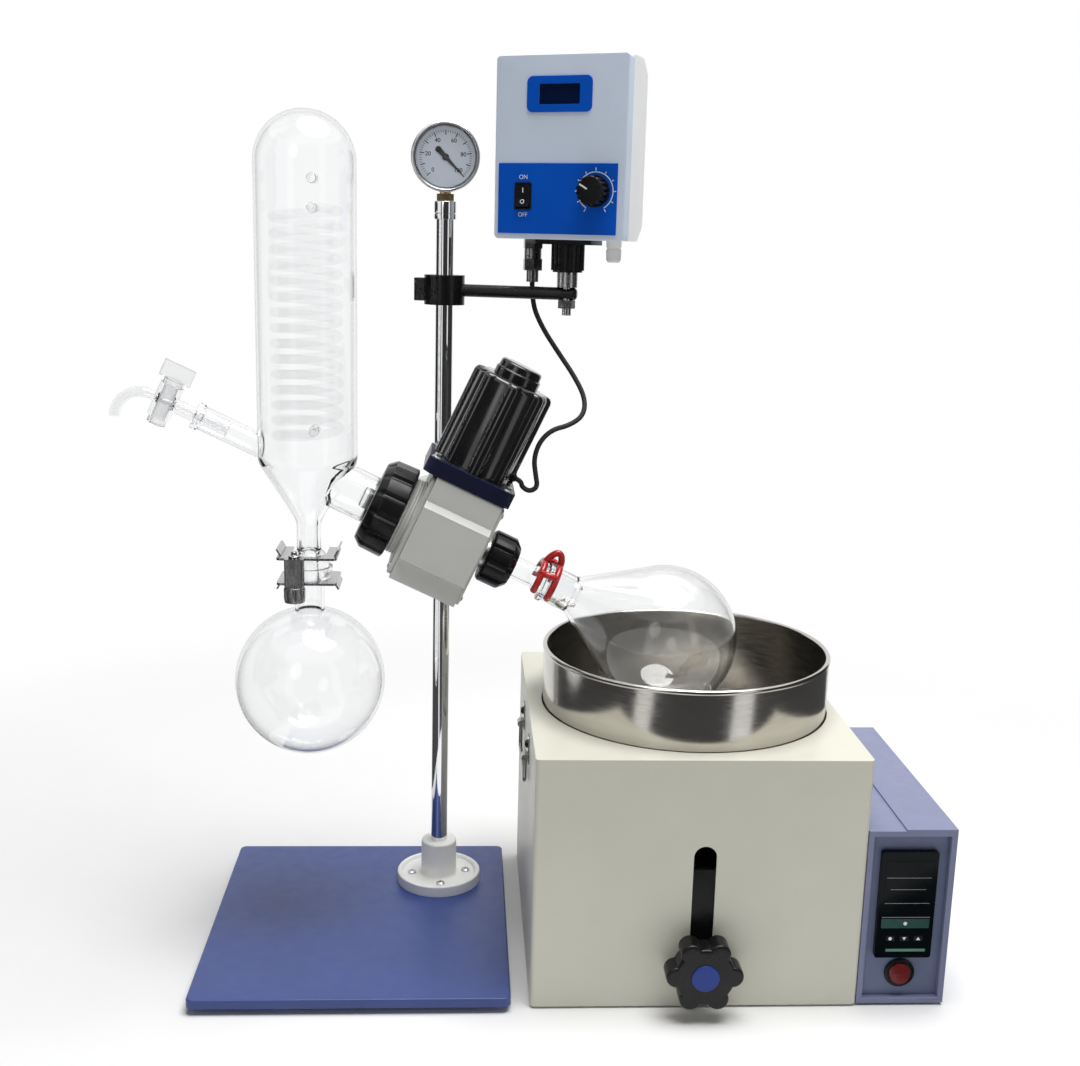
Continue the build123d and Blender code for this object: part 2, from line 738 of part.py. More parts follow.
with BuildPart() as control_panel:
    block(FACE, PANEL_W, PANEL_H, PANEL_T, at=(PANEL_U, PANEL_V))
    slot_w = ROCKER_W + 2 * GAP
    slot_h = 2 * (ROCKER_R + GAP)
    block(FACE, slot_w, slot_h, PANEL_T, at=(ROCKER_U, ROCKER_V), mode=Mode.SUBTRACT)
    rod(FACE, KNOB_SHAFT_R + GAP, PANEL_T, at=(KNOB_U, KNOB_V), mode=Mode.SUBTRACT)

with BuildPart() as display_window:
    pane = FACE.offset(-BOX_WALL)
    pane_w = DISPLAY_W - 2 * RUN
    pane_h = DISPLAY_H - 2 * RUN
    block(pane, pane_w, pane_h, BOX_WALL - DISPLAY_SINK, at=(PANEL_U, DISPLAY_V))

PANEL_FRONT = FACE.offset(PANEL_T)
ROCKER = Plane(PANEL_FRONT.from_local_coords((ROCKER_U, ROCKER_V, 0)), BOX.x_dir, BOX.z_dir)
with BuildPart() as power_rocker:
    rocker_body(ROCKER, ROCKER_W, ROCKER_R, ROCKER_SINK, ROCKER_LIFT, ROCKER_DROP, ROCKER_VALLEY)

KNOB = Plane(PANEL_FRONT.from_local_coords((KNOB_U, KNOB_V, GAP)), BOX.x_dir, BOX.z_dir)
with BuildPart() as speed_knob:
    rod(KNOB, KNOB_SKIRT_R, KNOB_SKIRT_H)
    rod(KNOB, KNOB_R, KNOB_H)
    fillet(speed_knob.faces().sort_by(Axis(BOX.origin, BOX.z_dir))[-1].edges(), KNOB_EDGE_R)
    with BuildSketch(KNOB.offset(KNOB_SKIRT_H)):
        with PolarLocations(KNOB_R, KNOB_FLUTES):
            Circle(KNOB_FLUTE_R)
    extrude(amount=KNOB_H, mode=Mode.SUBTRACT)
    rod(KNOB, KNOB_SHAFT_R, -KNOB_SHAFT_L)

with BuildPart() as motor_gland:
    spot = (GLAND_U, -GLAND_BACK)
    prism(BOX_UNDER, GLAND_R, HEX, GLAND_HEX_H, at=spot)
    rod(BOX_UNDER, GLAND_BODY_R, GLAND_BODY_H, at=spot)
    prism(BOX_UNDER.offset(GLAND_BODY_H), GLAND_R, HEX, GLAND_DOME_H, at=spot)
    rod(BOX_UNDER.offset(GLAND_BODY_H + GLAND_DOME_H), GLAND_TIP_R, GLAND_DOME_H, at=spot)

with BuildPart() as mains_inlet:
    rod(BOX_UNDER, INLET_R, INLET_H, at=(INLET_U, INLET_R), bore=INLET_R / 2)
    rod(BOX_UNDER, FUSE_R, FUSE_H, at=(FUSE_U, -GLAND_BACK))

# Drive head
with BuildPart() as head_housing:
    with BuildSketch(HEAD_END.offset(HOUSING_S0)):
        with BuildLine():
            Polyline(
                (HOUSING_T0, -HOUSING_BACK),
                (HOUSING_T1, -HOUSING_BACK),
                (HOUSING_T1, HOUSING_FRONT),
                (HOUSING_PROUD_T1 + HOUSING_BEVEL, HOUSING_FRONT),
                (HOUSING_PROUD_T1, HOUSING_FRONT + HOUSING_PROUD),
                (HOUSING_PROUD_T0, HOUSING_FRONT + HOUSING_PROUD),
                (HOUSING_PROUD_T0 - HOUSING_BEVEL / 2, HOUSING_FRONT),
                (HOUSING_T0, HOUSING_FRONT),
                close=True,
            )
        make_face()
    extrude(amount=HOUSING_S1 - HOUSING_S0)
    long_edges = head_housing.edges().filter_by(Axis(HEAD.origin, HEAD.x_dir))
    corners = long_edges.group_by(Axis(HEAD.origin, ACROSS))
    fillet(corners[0] + corners[-1], HOUSING_EDGE_R)
    seat = BEARING_R + RUN
    turn(
        HEAD,
        [
            (HOUSING_S0, 0),
            (HOUSING_S0, seat),
            (HOUSING_S0 + BEARING_W, seat),
            (HOUSING_S0 + BEARING_W, GEAR_ROOM_R),
            (HOUSING_S1 - BEARING_W, GEAR_ROOM_R),
            (HOUSING_S1 - BEARING_W, seat),
            (HOUSING_S1, seat),
            (HOUSING_S1, 0),
        ],
        mode=Mode.SUBTRACT,
    )
    rod(MOTOR, PINION_PORT_R, HOUSING_T1, mode=Mode.SUBTRACT)

with BuildPart() as head_clamp:
    sleeve = STAND.offset(HEAD_Z - CLAMP_H / 2)
    rod(sleeve, CLAMP_R, CLAMP_H)
    neck = facing(COLUMN_X, COLUMN_Y, HEAD_Z)
    block(neck, CLAMP_NECK_W, CLAMP_NECK_H, HEAD_REACH - HOUSING_BACK, corner=CLAMP_NECK_CORNER)
    rod(neck, CLAMP_BOSS_R, -(CLAMP_R + CLAMP_BOSS_L))
    rod(sleeve, COLUMN_R + SLIDE, CLAMP_H, mode=Mode.SUBTRACT)
    rod(neck, SCREW_R + RUN, -(CLAMP_R + CLAMP_BOSS_L), mode=Mode.SUBTRACT)

with BuildPart() as clamp_knob:
    rear = Plane((COLUMN_X, COLUMN_Y, HEAD_Z), x_dir=(-1, 0, 0), z_dir=(0, 1, 0))
    tip = COLUMN_R + GAP
    seat = CLAMP_R + CLAMP_BOSS_L + GAP
    rod(rear.offset(tip), SCREW_R, seat - tip)
    knob_core = CLAMP_KNOB_R - CLAMP_LOBE_R / 2
    star(rear.offset(seat), knob_core, CLAMP_KNOB_R, CLAMP_LOBE_R, CLAMP_KNOB_LOBES, CLAMP_KNOB_H)
    fillet(clamp_knob.faces().sort_by(Axis.Y)[-1].edges(), CLAMP_KNOB_EDGE_R)

# Motor
with BuildPart() as motor_flange:
    block(MOTOR.offset(HOUSING_T1), MOTOR_FLANGE_W, MOTOR_FLANGE_W, MOTOR_FLANGE_T)
    chamfer(motor_flange.edges().filter_by(Axis(HEAD.origin, ACROSS)), MOTOR_FLANGE_CUT)
    rod(MOTOR.offset(HOUSING_T1), PINION_PORT_R, MOTOR_FLANGE_T, mode=Mode.SUBTRACT)

with BuildPart() as motor_body:
    with BuildSketch(MOTOR.offset(MOTOR_T0)):
        Circle(MOTOR_CORE_R)
        with PolarLocations(MOTOR_RIB_AT, MOTOR_RIBS):
            Circle(MOTOR_RIB_R)
    extrude(amount=MOTOR_L)
    chamfer(motor_body.faces().sort_by(Axis(HEAD.origin, ACROSS))[-1].edges(), MOTOR_TOP_R / 2)
    rod(MOTOR.offset(MOTOR_T0), MOTOR_SHAFT_R + RUN, MOTOR_SHAFT_IN + GAP, mode=Mode.SUBTRACT)
    rod(HEAD_END.offset(MOTOR_CORE_R), CORD_BOSS_R, CORD_BOSS_S - MOTOR_CORE_R, at=(CORD_BOSS_T, 0))

with BuildPart() as motor_end_cap:
    rod(MOTOR.offset(MOTOR_T1), MOTOR_CAP_R, MOTOR_CAP_H)
    fillet(motor_end_cap.faces().sort_by(Axis(HEAD.origin, ACROSS))[-1].edges(), MOTOR_CAP_EDGE)

# Bevel drive: both pitch cones have their tip where the motor axis meets the head axis
PINION_PITCH_R = TOOTH_MODULE * PINION_TEETH / 2
GEAR_PITCH_R = TOOTH_MODULE * GEAR_TEETH / 2
CONE_L = hypot(PINION_PITCH_R, GEAR_PITCH_R)
MESH = (ALONG * PINION_PITCH_R + ACROSS * GEAR_PITCH_R).normalized()
MESH_NORMAL = (ALONG * GEAR_PITCH_R - ACROSS * PINION_PITCH_R).normalized()
INNER_SHARE = 1 - TOOTH_FACE / CONE_L
TOOTH_TOP = TOOTH_ADDENDUM * TOOTH_MODULE
TOOTH_ROOT = TOOTH_DEDENDUM * TOOTH_MODULE


def tooth_outline(share):
    """A straight-sided tooth at a share of the cone's length."""
    lean = tan(radians(TOOTH_FLANK))
    half = pi * TOOTH_MODULE / 4 * (1 - TOOTH_PLAY)
    bury = TOOTH_ROOT * TOOTH_BURY
    return [
        (-share * (half + bury * lean), -share * bury),
        (share * (half + bury * lean), -share * bury),
        (share * (half - TOOTH_TOP * lean), share * TOOTH_TOP),
        (-share * (half - TOOTH_TOP * lean), share * TOOTH_TOP),
    ]


def tooth_plane(share, outward):
    return Plane(HEAD.origin + MESH * CONE_L * share, x_dir=outward.cross(MESH), z_dir=MESH)


def cone_root(share, inward):
    """Where the tooth roots end, as (along the head axis, along the motor axis)."""
    spot = MESH * CONE_L * share + inward * TOOTH_ROOT * share
    return spot.dot(ALONG), spot.dot(ACROSS)


with BuildPart() as gear_tooth:
    for share in (1, INNER_SHARE):
        with BuildSketch(tooth_plane(share, -MESH_NORMAL)):
            with BuildLine():
                Polyline(*tooth_outline(share), close=True)
            make_face()
    loft(ruled=True)

with BuildPart() as drive_gear:
    outer_s, outer_r = cone_root(1 + ROOT_MARGIN, MESH_NORMAL)
    inner_s, inner_r = cone_root(INNER_SHARE - ROOT_MARGIN, MESH_NORMAL)
    turn(
        HEAD,
        [
            (inner_s - GEAR_HUB_T, SHAFT_R + RUN),
            (inner_s - GEAR_HUB_T, inner_r - GEAR_HUB_T),
            (inner_s, inner_r),
            (outer_s, outer_r),
            (GEAR_BACK_S - GEAR_HUB_T, outer_r),
            (GEAR_BACK_S, outer_r - GEAR_HUB_T),
            (GEAR_BACK_S, SHAFT_R + RUN),
        ],
    )
    for tooth in range(GEAR_TEETH):
        add(gear_tooth.part.rotate(Axis(HEAD.origin, ALONG), tooth * 360 / GEAR_TEETH))

with BuildPart() as pinion_tooth:
    for share in (1, INNER_SHARE):
        with BuildSketch(tooth_plane(share, MESH_NORMAL)):
            with BuildLine():
                Polyline(*tooth_outline(share), close=True)
            make_face()
    loft(ruled=True)

with BuildPart() as motor_pinion:
    outer_r, outer_t = cone_root(1 + ROOT_MARGIN, -MESH_NORMAL)
    inner_r, inner_t = cone_root(INNER_SHARE - ROOT_MARGIN, -MESH_NORMAL)
    turn(
        MOTOR_AXIS,
        [
            (inner_t, 0),
            (inner_t, inner_r),
            (outer_t, outer_r),
            (outer_t + GEAR_HUB_T, outer_r),
            (outer_t + GEAR_HUB_T, MOTOR_SHAFT_R),
            (MOTOR_T0 + MOTOR_SHAFT_IN, MOTOR_SHAFT_R),
            (MOTOR_T0 + MOTOR_SHAFT_IN, 0),
        ],
    )
    for tooth in range(PINION_TEETH):
        step = (tooth + 0.5) * 360 / PINION_TEETH
        add(pinion_tooth.part.rotate(Axis(HEAD.origin, ACROSS), step))

with BuildPart() as drive_shaft:
    rod(HEAD_END.offset(SHAFT_S0), SHAFT_R, SHAFT_S1 - SHAFT_S0, bore=SHAFT_BORE_R)

with BuildPart() as shaft_bearings:
    for start in (HOUSING_S0, HOUSING_S1 - BEARING_W):
        rod(HEAD_END.offset(start), BEARING_R, BEARING_W, bore=SHAFT_R + RUN)

# Union with the condenser, from the housing outwards
RING_S = HOUSING_S0 - RING_L
SPIGOT_S = RING_S - SPIGOT_L
UNION_S = RING_S - UNION_L
with BuildPart() as condenser_ring:
    turn(
        HEAD,
        [
            (HOUSING_S0, RING_BORE_R),
            (HOUSING_S0, RING_R),
            (RING_S, RING_R),
            (RING_S, SPIGOT_R),
            (SPIGOT_S, SPIGOT_R),
            (SPIGOT_S, SEAL_R + RUN),
            (SPIGOT_S + SEAL_L, SEAL_R + RUN),
            (SPIGOT_S + SEAL_L, RING_BORE_R),
        ],
    )

with BuildPart() as shaft_seal:
    rod(HEAD_END.offset(SPIGOT_S), SEAL_R, SEAL_L, bore=TUBE_R + GAP)

with BuildPart() as condenser_nut:
    turn(
        HEAD,
        [
            (RING_S, SPIGOT_R + RUN),
            (RING_S, UNION_R - UNION_EDGE),
            (RING_S - UNION_EDGE, UNION_R),
            (UNION_S + UNION_END_T, UNION_R - UNION_EDGE),
            (UNION_S, UNION_END_R),
            (UNION_S, ARM_GLASS_R + GAP),
            (UNION_S + UNION_END_T, ARM_GLASS_R + GAP),
            (UNION_S + UNION_END_T, SPIGOT_R + RUN),
        ],
    )
    with BuildSketch(HEAD_END.offset(UNION_S)):
        with PolarLocations(UNION_R + UNION_RIB_R / 2, UNION_RIBS):
            Circle(UNION_RIB_R)
    extrude(amount=UNION_L, mode=Mode.SUBTRACT)

FLASK_NUT_S1 = FLASK_NUT_S0 + FLASK_NUT_L
with BuildPart() as flask_nut:
    nose_s = FLASK_NUT_S1 - FLASK_NUT_NOSE_L
    turn(
        HEAD,
        [
            (FLASK_NUT_S0, SHAFT_R + RUN),
            (FLASK_NUT_S0, FLASK_NUT_R - FLASK_NUT_EDGE),
            (FLASK_NUT_S0 + FLASK_NUT_EDGE, FLASK_NUT_R),
            (nose_s, FLASK_NUT_R),
            (FLASK_NUT_S1, FLASK_NUT_NOSE_R),
            (FLASK_NUT_S1, TUBE_R + RUN),
            (SHAFT_S1 + RUN, TUBE_R + RUN),
            (SHAFT_S1 + RUN, SHAFT_R + RUN),
        ],
    )
    with BuildSketch(HEAD_END.offset(FLASK_NUT_S0 + FLASK_NUT_EDGE)):
        with PolarLocations(FLASK_NUT_R + FLASK_NUT_NOTCH_R / 3, FLASK_NUT_NOTCHES):
            Circle(FLASK_NUT_NOTCH_R)
    extrude(amount=FLASK_NUT_L, mode=Mode.SUBTRACT)

# Rotating glass
JOINT_S1 = JOINT_S0 + JOINT_L
JOINT_END_R = JOINT_R - JOINT_TAPER * JOINT_L
with BuildPart() as vapour_tube:
    bore = TUBE_R - TUBE_WALL
    flare_s = JOINT_S0 - TUBE_FLARE / 2
    turn(
        HEAD,
        [
            (TUBE_S0, bore),
            (TUBE_S0, TUBE_R),
            (flare_s - TUBE_FLARE, TUBE_R),
            (flare_s, JOINT_R),
            (JOINT_S0, JOINT_R),
            (JOINT_S1, JOINT_END_R),
            (JOINT_S1 + TUBE_DRIP, TUBE_R),
            (JOINT_S1 + TUBE_DRIP, bore),
            (JOINT_S1, JOINT_END_R - TUBE_WALL),
            (JOINT_S0, JOINT_R - TUBE_WALL),
            (flare_s, JOINT_R - TUBE_WALL),
            (flare_s - TUBE_FLARE, bore),
        ],
    )


def touch_point(start, radius):
    """Where a line from (along, radius) start touches the flask's sphere."""
    reach = hypot(FLASK_S - start[0], start[1])
    lean = atan2(-start[1], FLASK_S - start[0]) + asin(radius / reach)
    run = sqrt(reach**2 - radius**2)
    return start[0] + run * cos(lean), start[1] + run * sin(lean)


def flask_form(outline, start, radius, mode=Mode.ADD):
    """Turn a neck outline that widens from start into a sphere about the head axis."""
    meet = touch_point(start, radius)
    tip = (FLASK_S + radius, 0)
    with BuildSketch(HEAD) as profile:
        with BuildLine():
            Polyline(*outline, start, meet)
            TangentArc(meet, tip, tangent=(meet[0] - start[0], meet[1] - start[1]))
            Polyline(tip, (outline[0][0], 0), outline[0])
        make_face()
    revolve(profile.sketch, axis=Axis(HEAD.origin, HEAD.x_dir), mode=mode)


with BuildPart() as evaporating_flask:
    lip_s = JOINT_S0 + FLASK_LIP_L
    flask_form(
        [
            (JOINT_S0, FLASK_LIP_R),
            (lip_s, FLASK_LIP_R),
            (lip_s + FLASK_LIP_R - FLASK_NECK_R, FLASK_NECK_R),
        ],
        (JOINT_S1, FLASK_NECK_R),
        FLASK_R,
    )
    flask_form(
        [(JOINT_S0, JOINT_R + RUN), (JOINT_S1, JOINT_END_R + RUN)],
        (JOINT_S1 + FLASK_WALL, FLASK_NECK_R - FLASK_WALL),
        FLASK_R - FLASK_WALL,
        mode=Mode.SUBTRACT,
    )

with BuildPart() as joint_clip:
    clip_s0 = JOINT_S0 - CLIP_BACK
    clip_s1 = JOINT_S0 + FLASK_LIP_L + CLIP_WIRE_R + CLIP_FRONT
    low_r = JOINT_R + CLIP_WIRE_R + GAP
    high_r = FLASK_NECK_R + CLIP_WIRE_R + GAP
    for wire_s, wire_r in ((clip_s0, low_r), (clip_s1, high_r)):
        with BuildSketch(head_plane(CLIP_TURN)) as wire:
            with Locations((wire_s, wire_r)):
                RegularPolygon(CLIP_WIRE_R, CLIP_SIDES)
        for sweep_angle in (-CLIP_ARC / 2, CLIP_ARC / 2):
            revolve(wire.sketch, Axis(HEAD.origin, HEAD.x_dir), sweep_angle)
    bar_r = FLASK_LIP_R + CLIP_WIRE_R + CLIP_BAR_ROOM
    loop_r = high_r + CLIP_LOOP_RISE
    bridges = ((0, loop_r), (-CLIP_BAR_TURN, bar_r), (CLIP_BAR_TURN, bar_r))
    for turned, crest_r in bridges:
        with BuildLine(head_plane(CLIP_TURN + turned)) as bridge:
            crest = ((clip_s0 + clip_s1) / 2, crest_r)
            ThreePointArc((clip_s0, low_r), crest, (clip_s1, high_r))
        with BuildSketch(Plane(bridge.line @ 0, z_dir=bridge.line % 0)) as bridge_wire:
            RegularPolygon(CLIP_WIRE_R, CLIP_SIDES)
        sweep(bridge_wire.sketch, path=bridge.line)

# Condenser
DOME_Z = CONDENSER_TOP - CONDENSER_R
with BuildPart() as condenser_glass:
    neck_z = BALL_Z + sqrt(BALL_R**2 - CONDENSER_NECK_R**2)
    ball_end = BALL_Z - sqrt(BALL_R**2 - BALL_END_R**2)
    with BuildSketch(CONDENSER) as outside:
        with BuildLine():
            Line((ball_end, 0), (ball_end, BALL_END_R))
            ThreePointArc((ball_end, BALL_END_R), (BALL_Z, BALL_R), (neck_z, CONDENSER_NECK_R))
            Polyline(
                (neck_z, CONDENSER_NECK_R),
                (CONDENSER_NECK_TOP, CONDENSER_NECK_R),
                (CONDENSER_SHOULDER, CONDENSER_R),
                (DOME_Z, CONDENSER_R),
            )
            RadiusArc((DOME_Z, CONDENSER_R), (CONDENSER_TOP, 0), CONDENSER_R)
            Line((CONDENSER_TOP, 0), (ball_end, 0))
        make_face()
    revolve(axis=Axis(CONDENSER.origin, CONDENSER.x_dir))
    centre_s = CONDENSER_SHIFT / cos(TILT)
    lip_s = SPIGOT_S - GAP
    rod(HEAD_END.offset(centre_s), ARM_GLASS_R, lip_s - centre_s)
    rod(HEAD_END.offset(lip_s - ARM_LIP_T), ARM_LIP_R, ARM_LIP_T)
    feed_end = Plane(FEED.origin + ALONG * FEED_SOCKET_S, x_dir=ACROSS, z_dir=ALONG)
    rod(feed_end, FEED_SOCKET_R, centre_s - FEED_SOCKET_S)
    rod(feed_end, FEED_LIP_R, FEED_LIP_L)
    coil_end_z = COIL_Z + COIL_PITCH * COIL_TURNS
    for nozzle_z in (COIL_Z, coil_end_z, VACUUM_Z):
        nozzle = Plane((CONDENSER_X, HEAD_Y, nozzle_z), z_dir=(0, 1, 0))
        rod(nozzle.offset(CONDENSER_R - NOZZLE_ROOT), NOZZLE_R, NOZZLE_L + NOZZLE_ROOT)
    inner_r = CONDENSER_R - CONDENSER_WALL
    with BuildSketch(CONDENSER) as inside:
        with BuildLine():
            Polyline(
                (DOME_Z, inner_r),
                (CONDENSER_SHOULDER + CONDENSER_WALL, inner_r),
                (CONDENSER_NECK_TOP + CONDENSER_WALL, BALL_BORE_R),
                (ball_end, BALL_BORE_R),
                (ball_end, 0),
                (DOME_Z + inner_r, 0),
            )
            RadiusArc((DOME_Z + inner_r, 0), (DOME_Z, inner_r), -inner_r)
        make_face()
    revolve(axis=Axis(CONDENSER.origin, CONDENSER.x_dir), mode=Mode.SUBTRACT)
    arm_bore = ARM_GLASS_R - CONDENSER_WALL
    rod(HEAD_END.offset(centre_s), arm_bore, lip_s - centre_s, mode=Mode.SUBTRACT)
    rod(feed_end, FEED_PLUG_R + RUN, centre_s - FEED_SOCKET_S, mode=Mode.SUBTRACT)
    for nozzle_z in (COIL_Z, coil_end_z, VACUUM_Z):
        nozzle = Plane((CONDENSER_X, HEAD_Y, nozzle_z), z_dir=(0, 1, 0))
        bore_l = CONDENSER_R + NOZZLE_L - inner_r + NOZZLE_ROOT
        rod(nozzle.offset(inner_r - NOZZLE_ROOT), NOZZLE_BORE_R, bore_l, mode=Mode.SUBTRACT)

with BuildPart() as coil_wire:
    with BuildLine() as coil_path:
        Helix(COIL_PITCH, COIL_PITCH * COIL_TURNS, COIL_R)
    with BuildSketch(Plane(coil_path.line @ 0, z_dir=coil_path.line % 0)):
        RegularPolygon(COIL_WIRE_R, HEX)
    sweep(path=coil_path.line, is_frenet=True)

with BuildPart() as condenser_coil:
    with Locations(Location((CONDENSER_X, HEAD_Y, COIL_Z), (0, 0, 90))):
        add(coil_wire.part)
    root_r = COIL_R - COIL_WIRE_R / 2
    leg_l = CONDENSER_R - CONDENSER_WALL - GAP - root_r
    for leg_z in (COIL_Z, coil_end_z):
        leg = Plane((CONDENSER_X, HEAD_Y, leg_z), z_dir=(0, 1, 0))
        rod(leg.offset(root_r), COIL_LEG_R, leg_l)

# Feed stopcock
FEED_SPOUT_S = FEED_BARREL_S - FEED_BARREL_R - SPOUT_OUT
with BuildPart() as feed_valve:
    plug = Plane(FEED.origin + ALONG * FEED_SOCKET_S, x_dir=ACROSS, z_dir=ALONG)
    rod(plug, FEED_PLUG_R, FEED_PLUG_L)
    rod(plug, FEED_BODY_R, FEED_BARREL_S - FEED_SOCKET_S)
    rod(FEED_BARREL.offset(-FEED_BARREL_H / 2), FEED_BARREL_R, FEED_BARREL_H)
    with BuildLine(FEED) as spout_path:
        bend = radians(SPOUT_BEND)
        Line((FEED_BARREL_S, 0), (FEED_SPOUT_S, 0))
        RadiusArc(
            (FEED_SPOUT_S, 0),
            (FEED_SPOUT_S - SPOUT_BEND_R * sin(bend), -SPOUT_BEND_R * (1 - cos(bend))),
            -SPOUT_BEND_R,
        )
    spout_end = Plane(FEED.from_local_coords((FEED_BARREL_S, 0)), x_dir=ACROSS, z_dir=-ALONG)
    with BuildSketch(spout_end) as spout:
        Circle(SPOUT_R)
    sweep(spout.sketch, path=spout_path.line)
    with BuildSketch(spout_end) as spout_bore:
        Circle(SPOUT_BORE_R)
    sweep(spout_bore.sketch, path=spout_path.line, mode=Mode.SUBTRACT)
    bore_l = FEED_SOCKET_S + FEED_PLUG_L - FEED_BARREL_S
    rod(plug.offset(FEED_PLUG_L), FEED_BORE_R, -bore_l, mode=Mode.SUBTRACT)
    rod(FEED_BARREL.offset(-FEED_BARREL_H / 2), KEY_R + RUN, FEED_BARREL_H, mode=Mode.SUBTRACT)

with BuildPart() as feed_valve_key:
    top = FEED_BARREL_H / 2 + GAP
    rod(FEED_BARREL.offset(-top), KEY_R, 2 * top)
    rod(FEED_BARREL.offset(top), KEY_HEAD_R, KEY_HEAD_H)
    grip = FEED_BARREL.offset(top + KEY_HEAD_H)
    block(grip, KEY_GRIP_W, KEY_GRIP_T, KEY_GRIP_H, corner=KEY_GRIP_T / 2 - RUN)
    prism(FEED_BARREL.offset(-top), KEY_NUT_R, HEX, -KEY_NUT_H)
    entry = Plane(FEED_BARREL.origin - ALONG * KEY_R, x_dir=ACROSS, z_dir=ALONG)
    rod(entry, FEED_BORE_R, 2 * KEY_R, mode=Mode.SUBTRACT)

# Receiving flask on its ball joint
with BuildPart() as receiving_flask:
    cup_r = BALL_R + CUP_PLAY
    cup_out_r = cup_r + CUP_WALL
    lip_z = BALL_Z - CUP_DROP
    lip_out_r = sqrt(cup_out_r**2 - CUP_DROP**2)
    lip_in_r = sqrt(cup_r**2 - CUP_DROP**2)
    neck_bore = RECEIVER_NECK_R - RECEIVER_WALL
    meet_z = RECEIVER_Z + sqrt(RECEIVER_R**2 - RECEIVER_NECK_R**2)
    cup_z = BALL_Z - sqrt(cup_out_r**2 - RECEIVER_NECK_R**2)
    bulb_bore = RECEIVER_R - RECEIVER_WALL
    with BuildSketch(CONDENSER) as bulb:
        with BuildLine():
            Line((lip_z, 0), (RECEIVER_Z - RECEIVER_R, 0))
            ThreePointArc(
                (RECEIVER_Z - RECEIVER_R, 0), (RECEIVER_Z, RECEIVER_R), (meet_z, RECEIVER_NECK_R)
            )
            Line((meet_z, RECEIVER_NECK_R), (cup_z, RECEIVER_NECK_R))
            RadiusArc((cup_z, RECEIVER_NECK_R), (lip_z, lip_out_r), cup_out_r)
            Line((lip_z, lip_out_r), (lip_z, 0))
        make_face()
    revolve(axis=Axis(CONDENSER.origin, CONDENSER.x_dir))
    bore_z = RECEIVER_Z + sqrt(bulb_bore**2 - neck_bore**2)
    seat_z = BALL_Z - sqrt(cup_r**2 - neck_bore**2)
    with BuildSketch(CONDENSER) as hollow:
        with BuildLine():
            Line((lip_z, 0), (RECEIVER_Z - bulb_bore, 0))
            ThreePointArc((RECEIVER_Z - bulb_bore, 0), (RECEIVER_Z, bulb_bore), (bore_z, neck_bore))
            Line((bore_z, neck_bore), (seat_z, neck_bore))
            RadiusArc((seat_z, neck_bore), (lip_z, lip_in_r), cup_r)
            Line((lip_z, lip_in_r), (lip_z, 0))
        make_face()
    revolve(axis=Axis(CONDENSER.origin, CONDENSER.x_dir), mode=Mode.SUBTRACT)

with BuildPart() as ball_joint_clamp:
    cup_out_r = BALL_R + CUP_PLAY + CUP_WALL
    top_z = BALL_Z + sqrt(BALL_R**2 - FORK_TOP_SLOT_R**2) + GAP
    low_z = BALL_Z - sqrt(cup_out_r**2 - FORK_LOW_SLOT_R**2) - GAP - FORK_T
    for fork_z, slot_r in ((top_z, FORK_TOP_SLOT_R), (low_z, FORK_LOW_SLOT_R)):
        with BuildSketch(JOINT.offset(fork_z)) as fork:
            RectangleRounded(FORK_W, FORK_D, FORK_T * 2)
            Circle(slot_r + GAP, mode=Mode.SUBTRACT)
            with Locations((0, FORK_D / 2)):
                Rectangle(2 * (slot_r + GAP), FORK_D, mode=Mode.SUBTRACT)
        extrude(amount=FORK_T)
    spine = JOINT.offset(low_z)
    spine_y = -FORK_D / 2 - FORK_SPINE_T / 2 + FORK_T
    spine_h = top_z - low_z + FORK_T
    spine_at = (FORK_SPINE_X, spine_y)
    block(spine, FORK_SPINE_W, FORK_SPINE_T, spine_h, at=spine_at, corner=FORK_SPINE_CORNER)
    rod(spine, FORK_NUT_R, -FORK_NUT_H, at=spine_at)

# Heating bath
with BuildPart() as bath_housing:
    shell_h = BATH_TOP - BATH_SHEET - BATH_FOOT_H
    block(BATH.offset(BATH_FOOT_H), BATH_W, BATH_D, shell_h, corner=BATH_CORNER_R)
    block(
        BATH.offset(BATH_FOOT_H + BATH_SHEET),
        BATH_W - 2 * BATH_SHEET,
        BATH_D - 2 * BATH_SHEET,
        shell_h,
        corner=BATH_CORNER_R - BATH_SHEET,
        mode=Mode.SUBTRACT,
    )
    slot_l = SLOT_TOP - SLOT_R - LIFT_Z
    with BuildSketch(facing(POT_X, BATH_FRONT, LIFT_Z + slot_l / 2)):
        SlotCenterToCenter(slot_l, 2 * SLOT_R, rotation=90)
    extrude(amount=-BATH_SHEET, mode=Mode.SUBTRACT)

with BuildPart() as bath_top_plate:
    block(BATH.offset(BATH_TOP - BATH_SHEET), BATH_W, BATH_D, BATH_SHEET, corner=BATH_CORNER_R)
    hole_r = POT_R + POT_WALL + POT_ROOM
    rod(BATH.offset(BATH_TOP - BATH_SHEET), hole_r, BATH_SHEET, at=(POT_SHIFT, 0), mode=Mode.SUBTRACT)

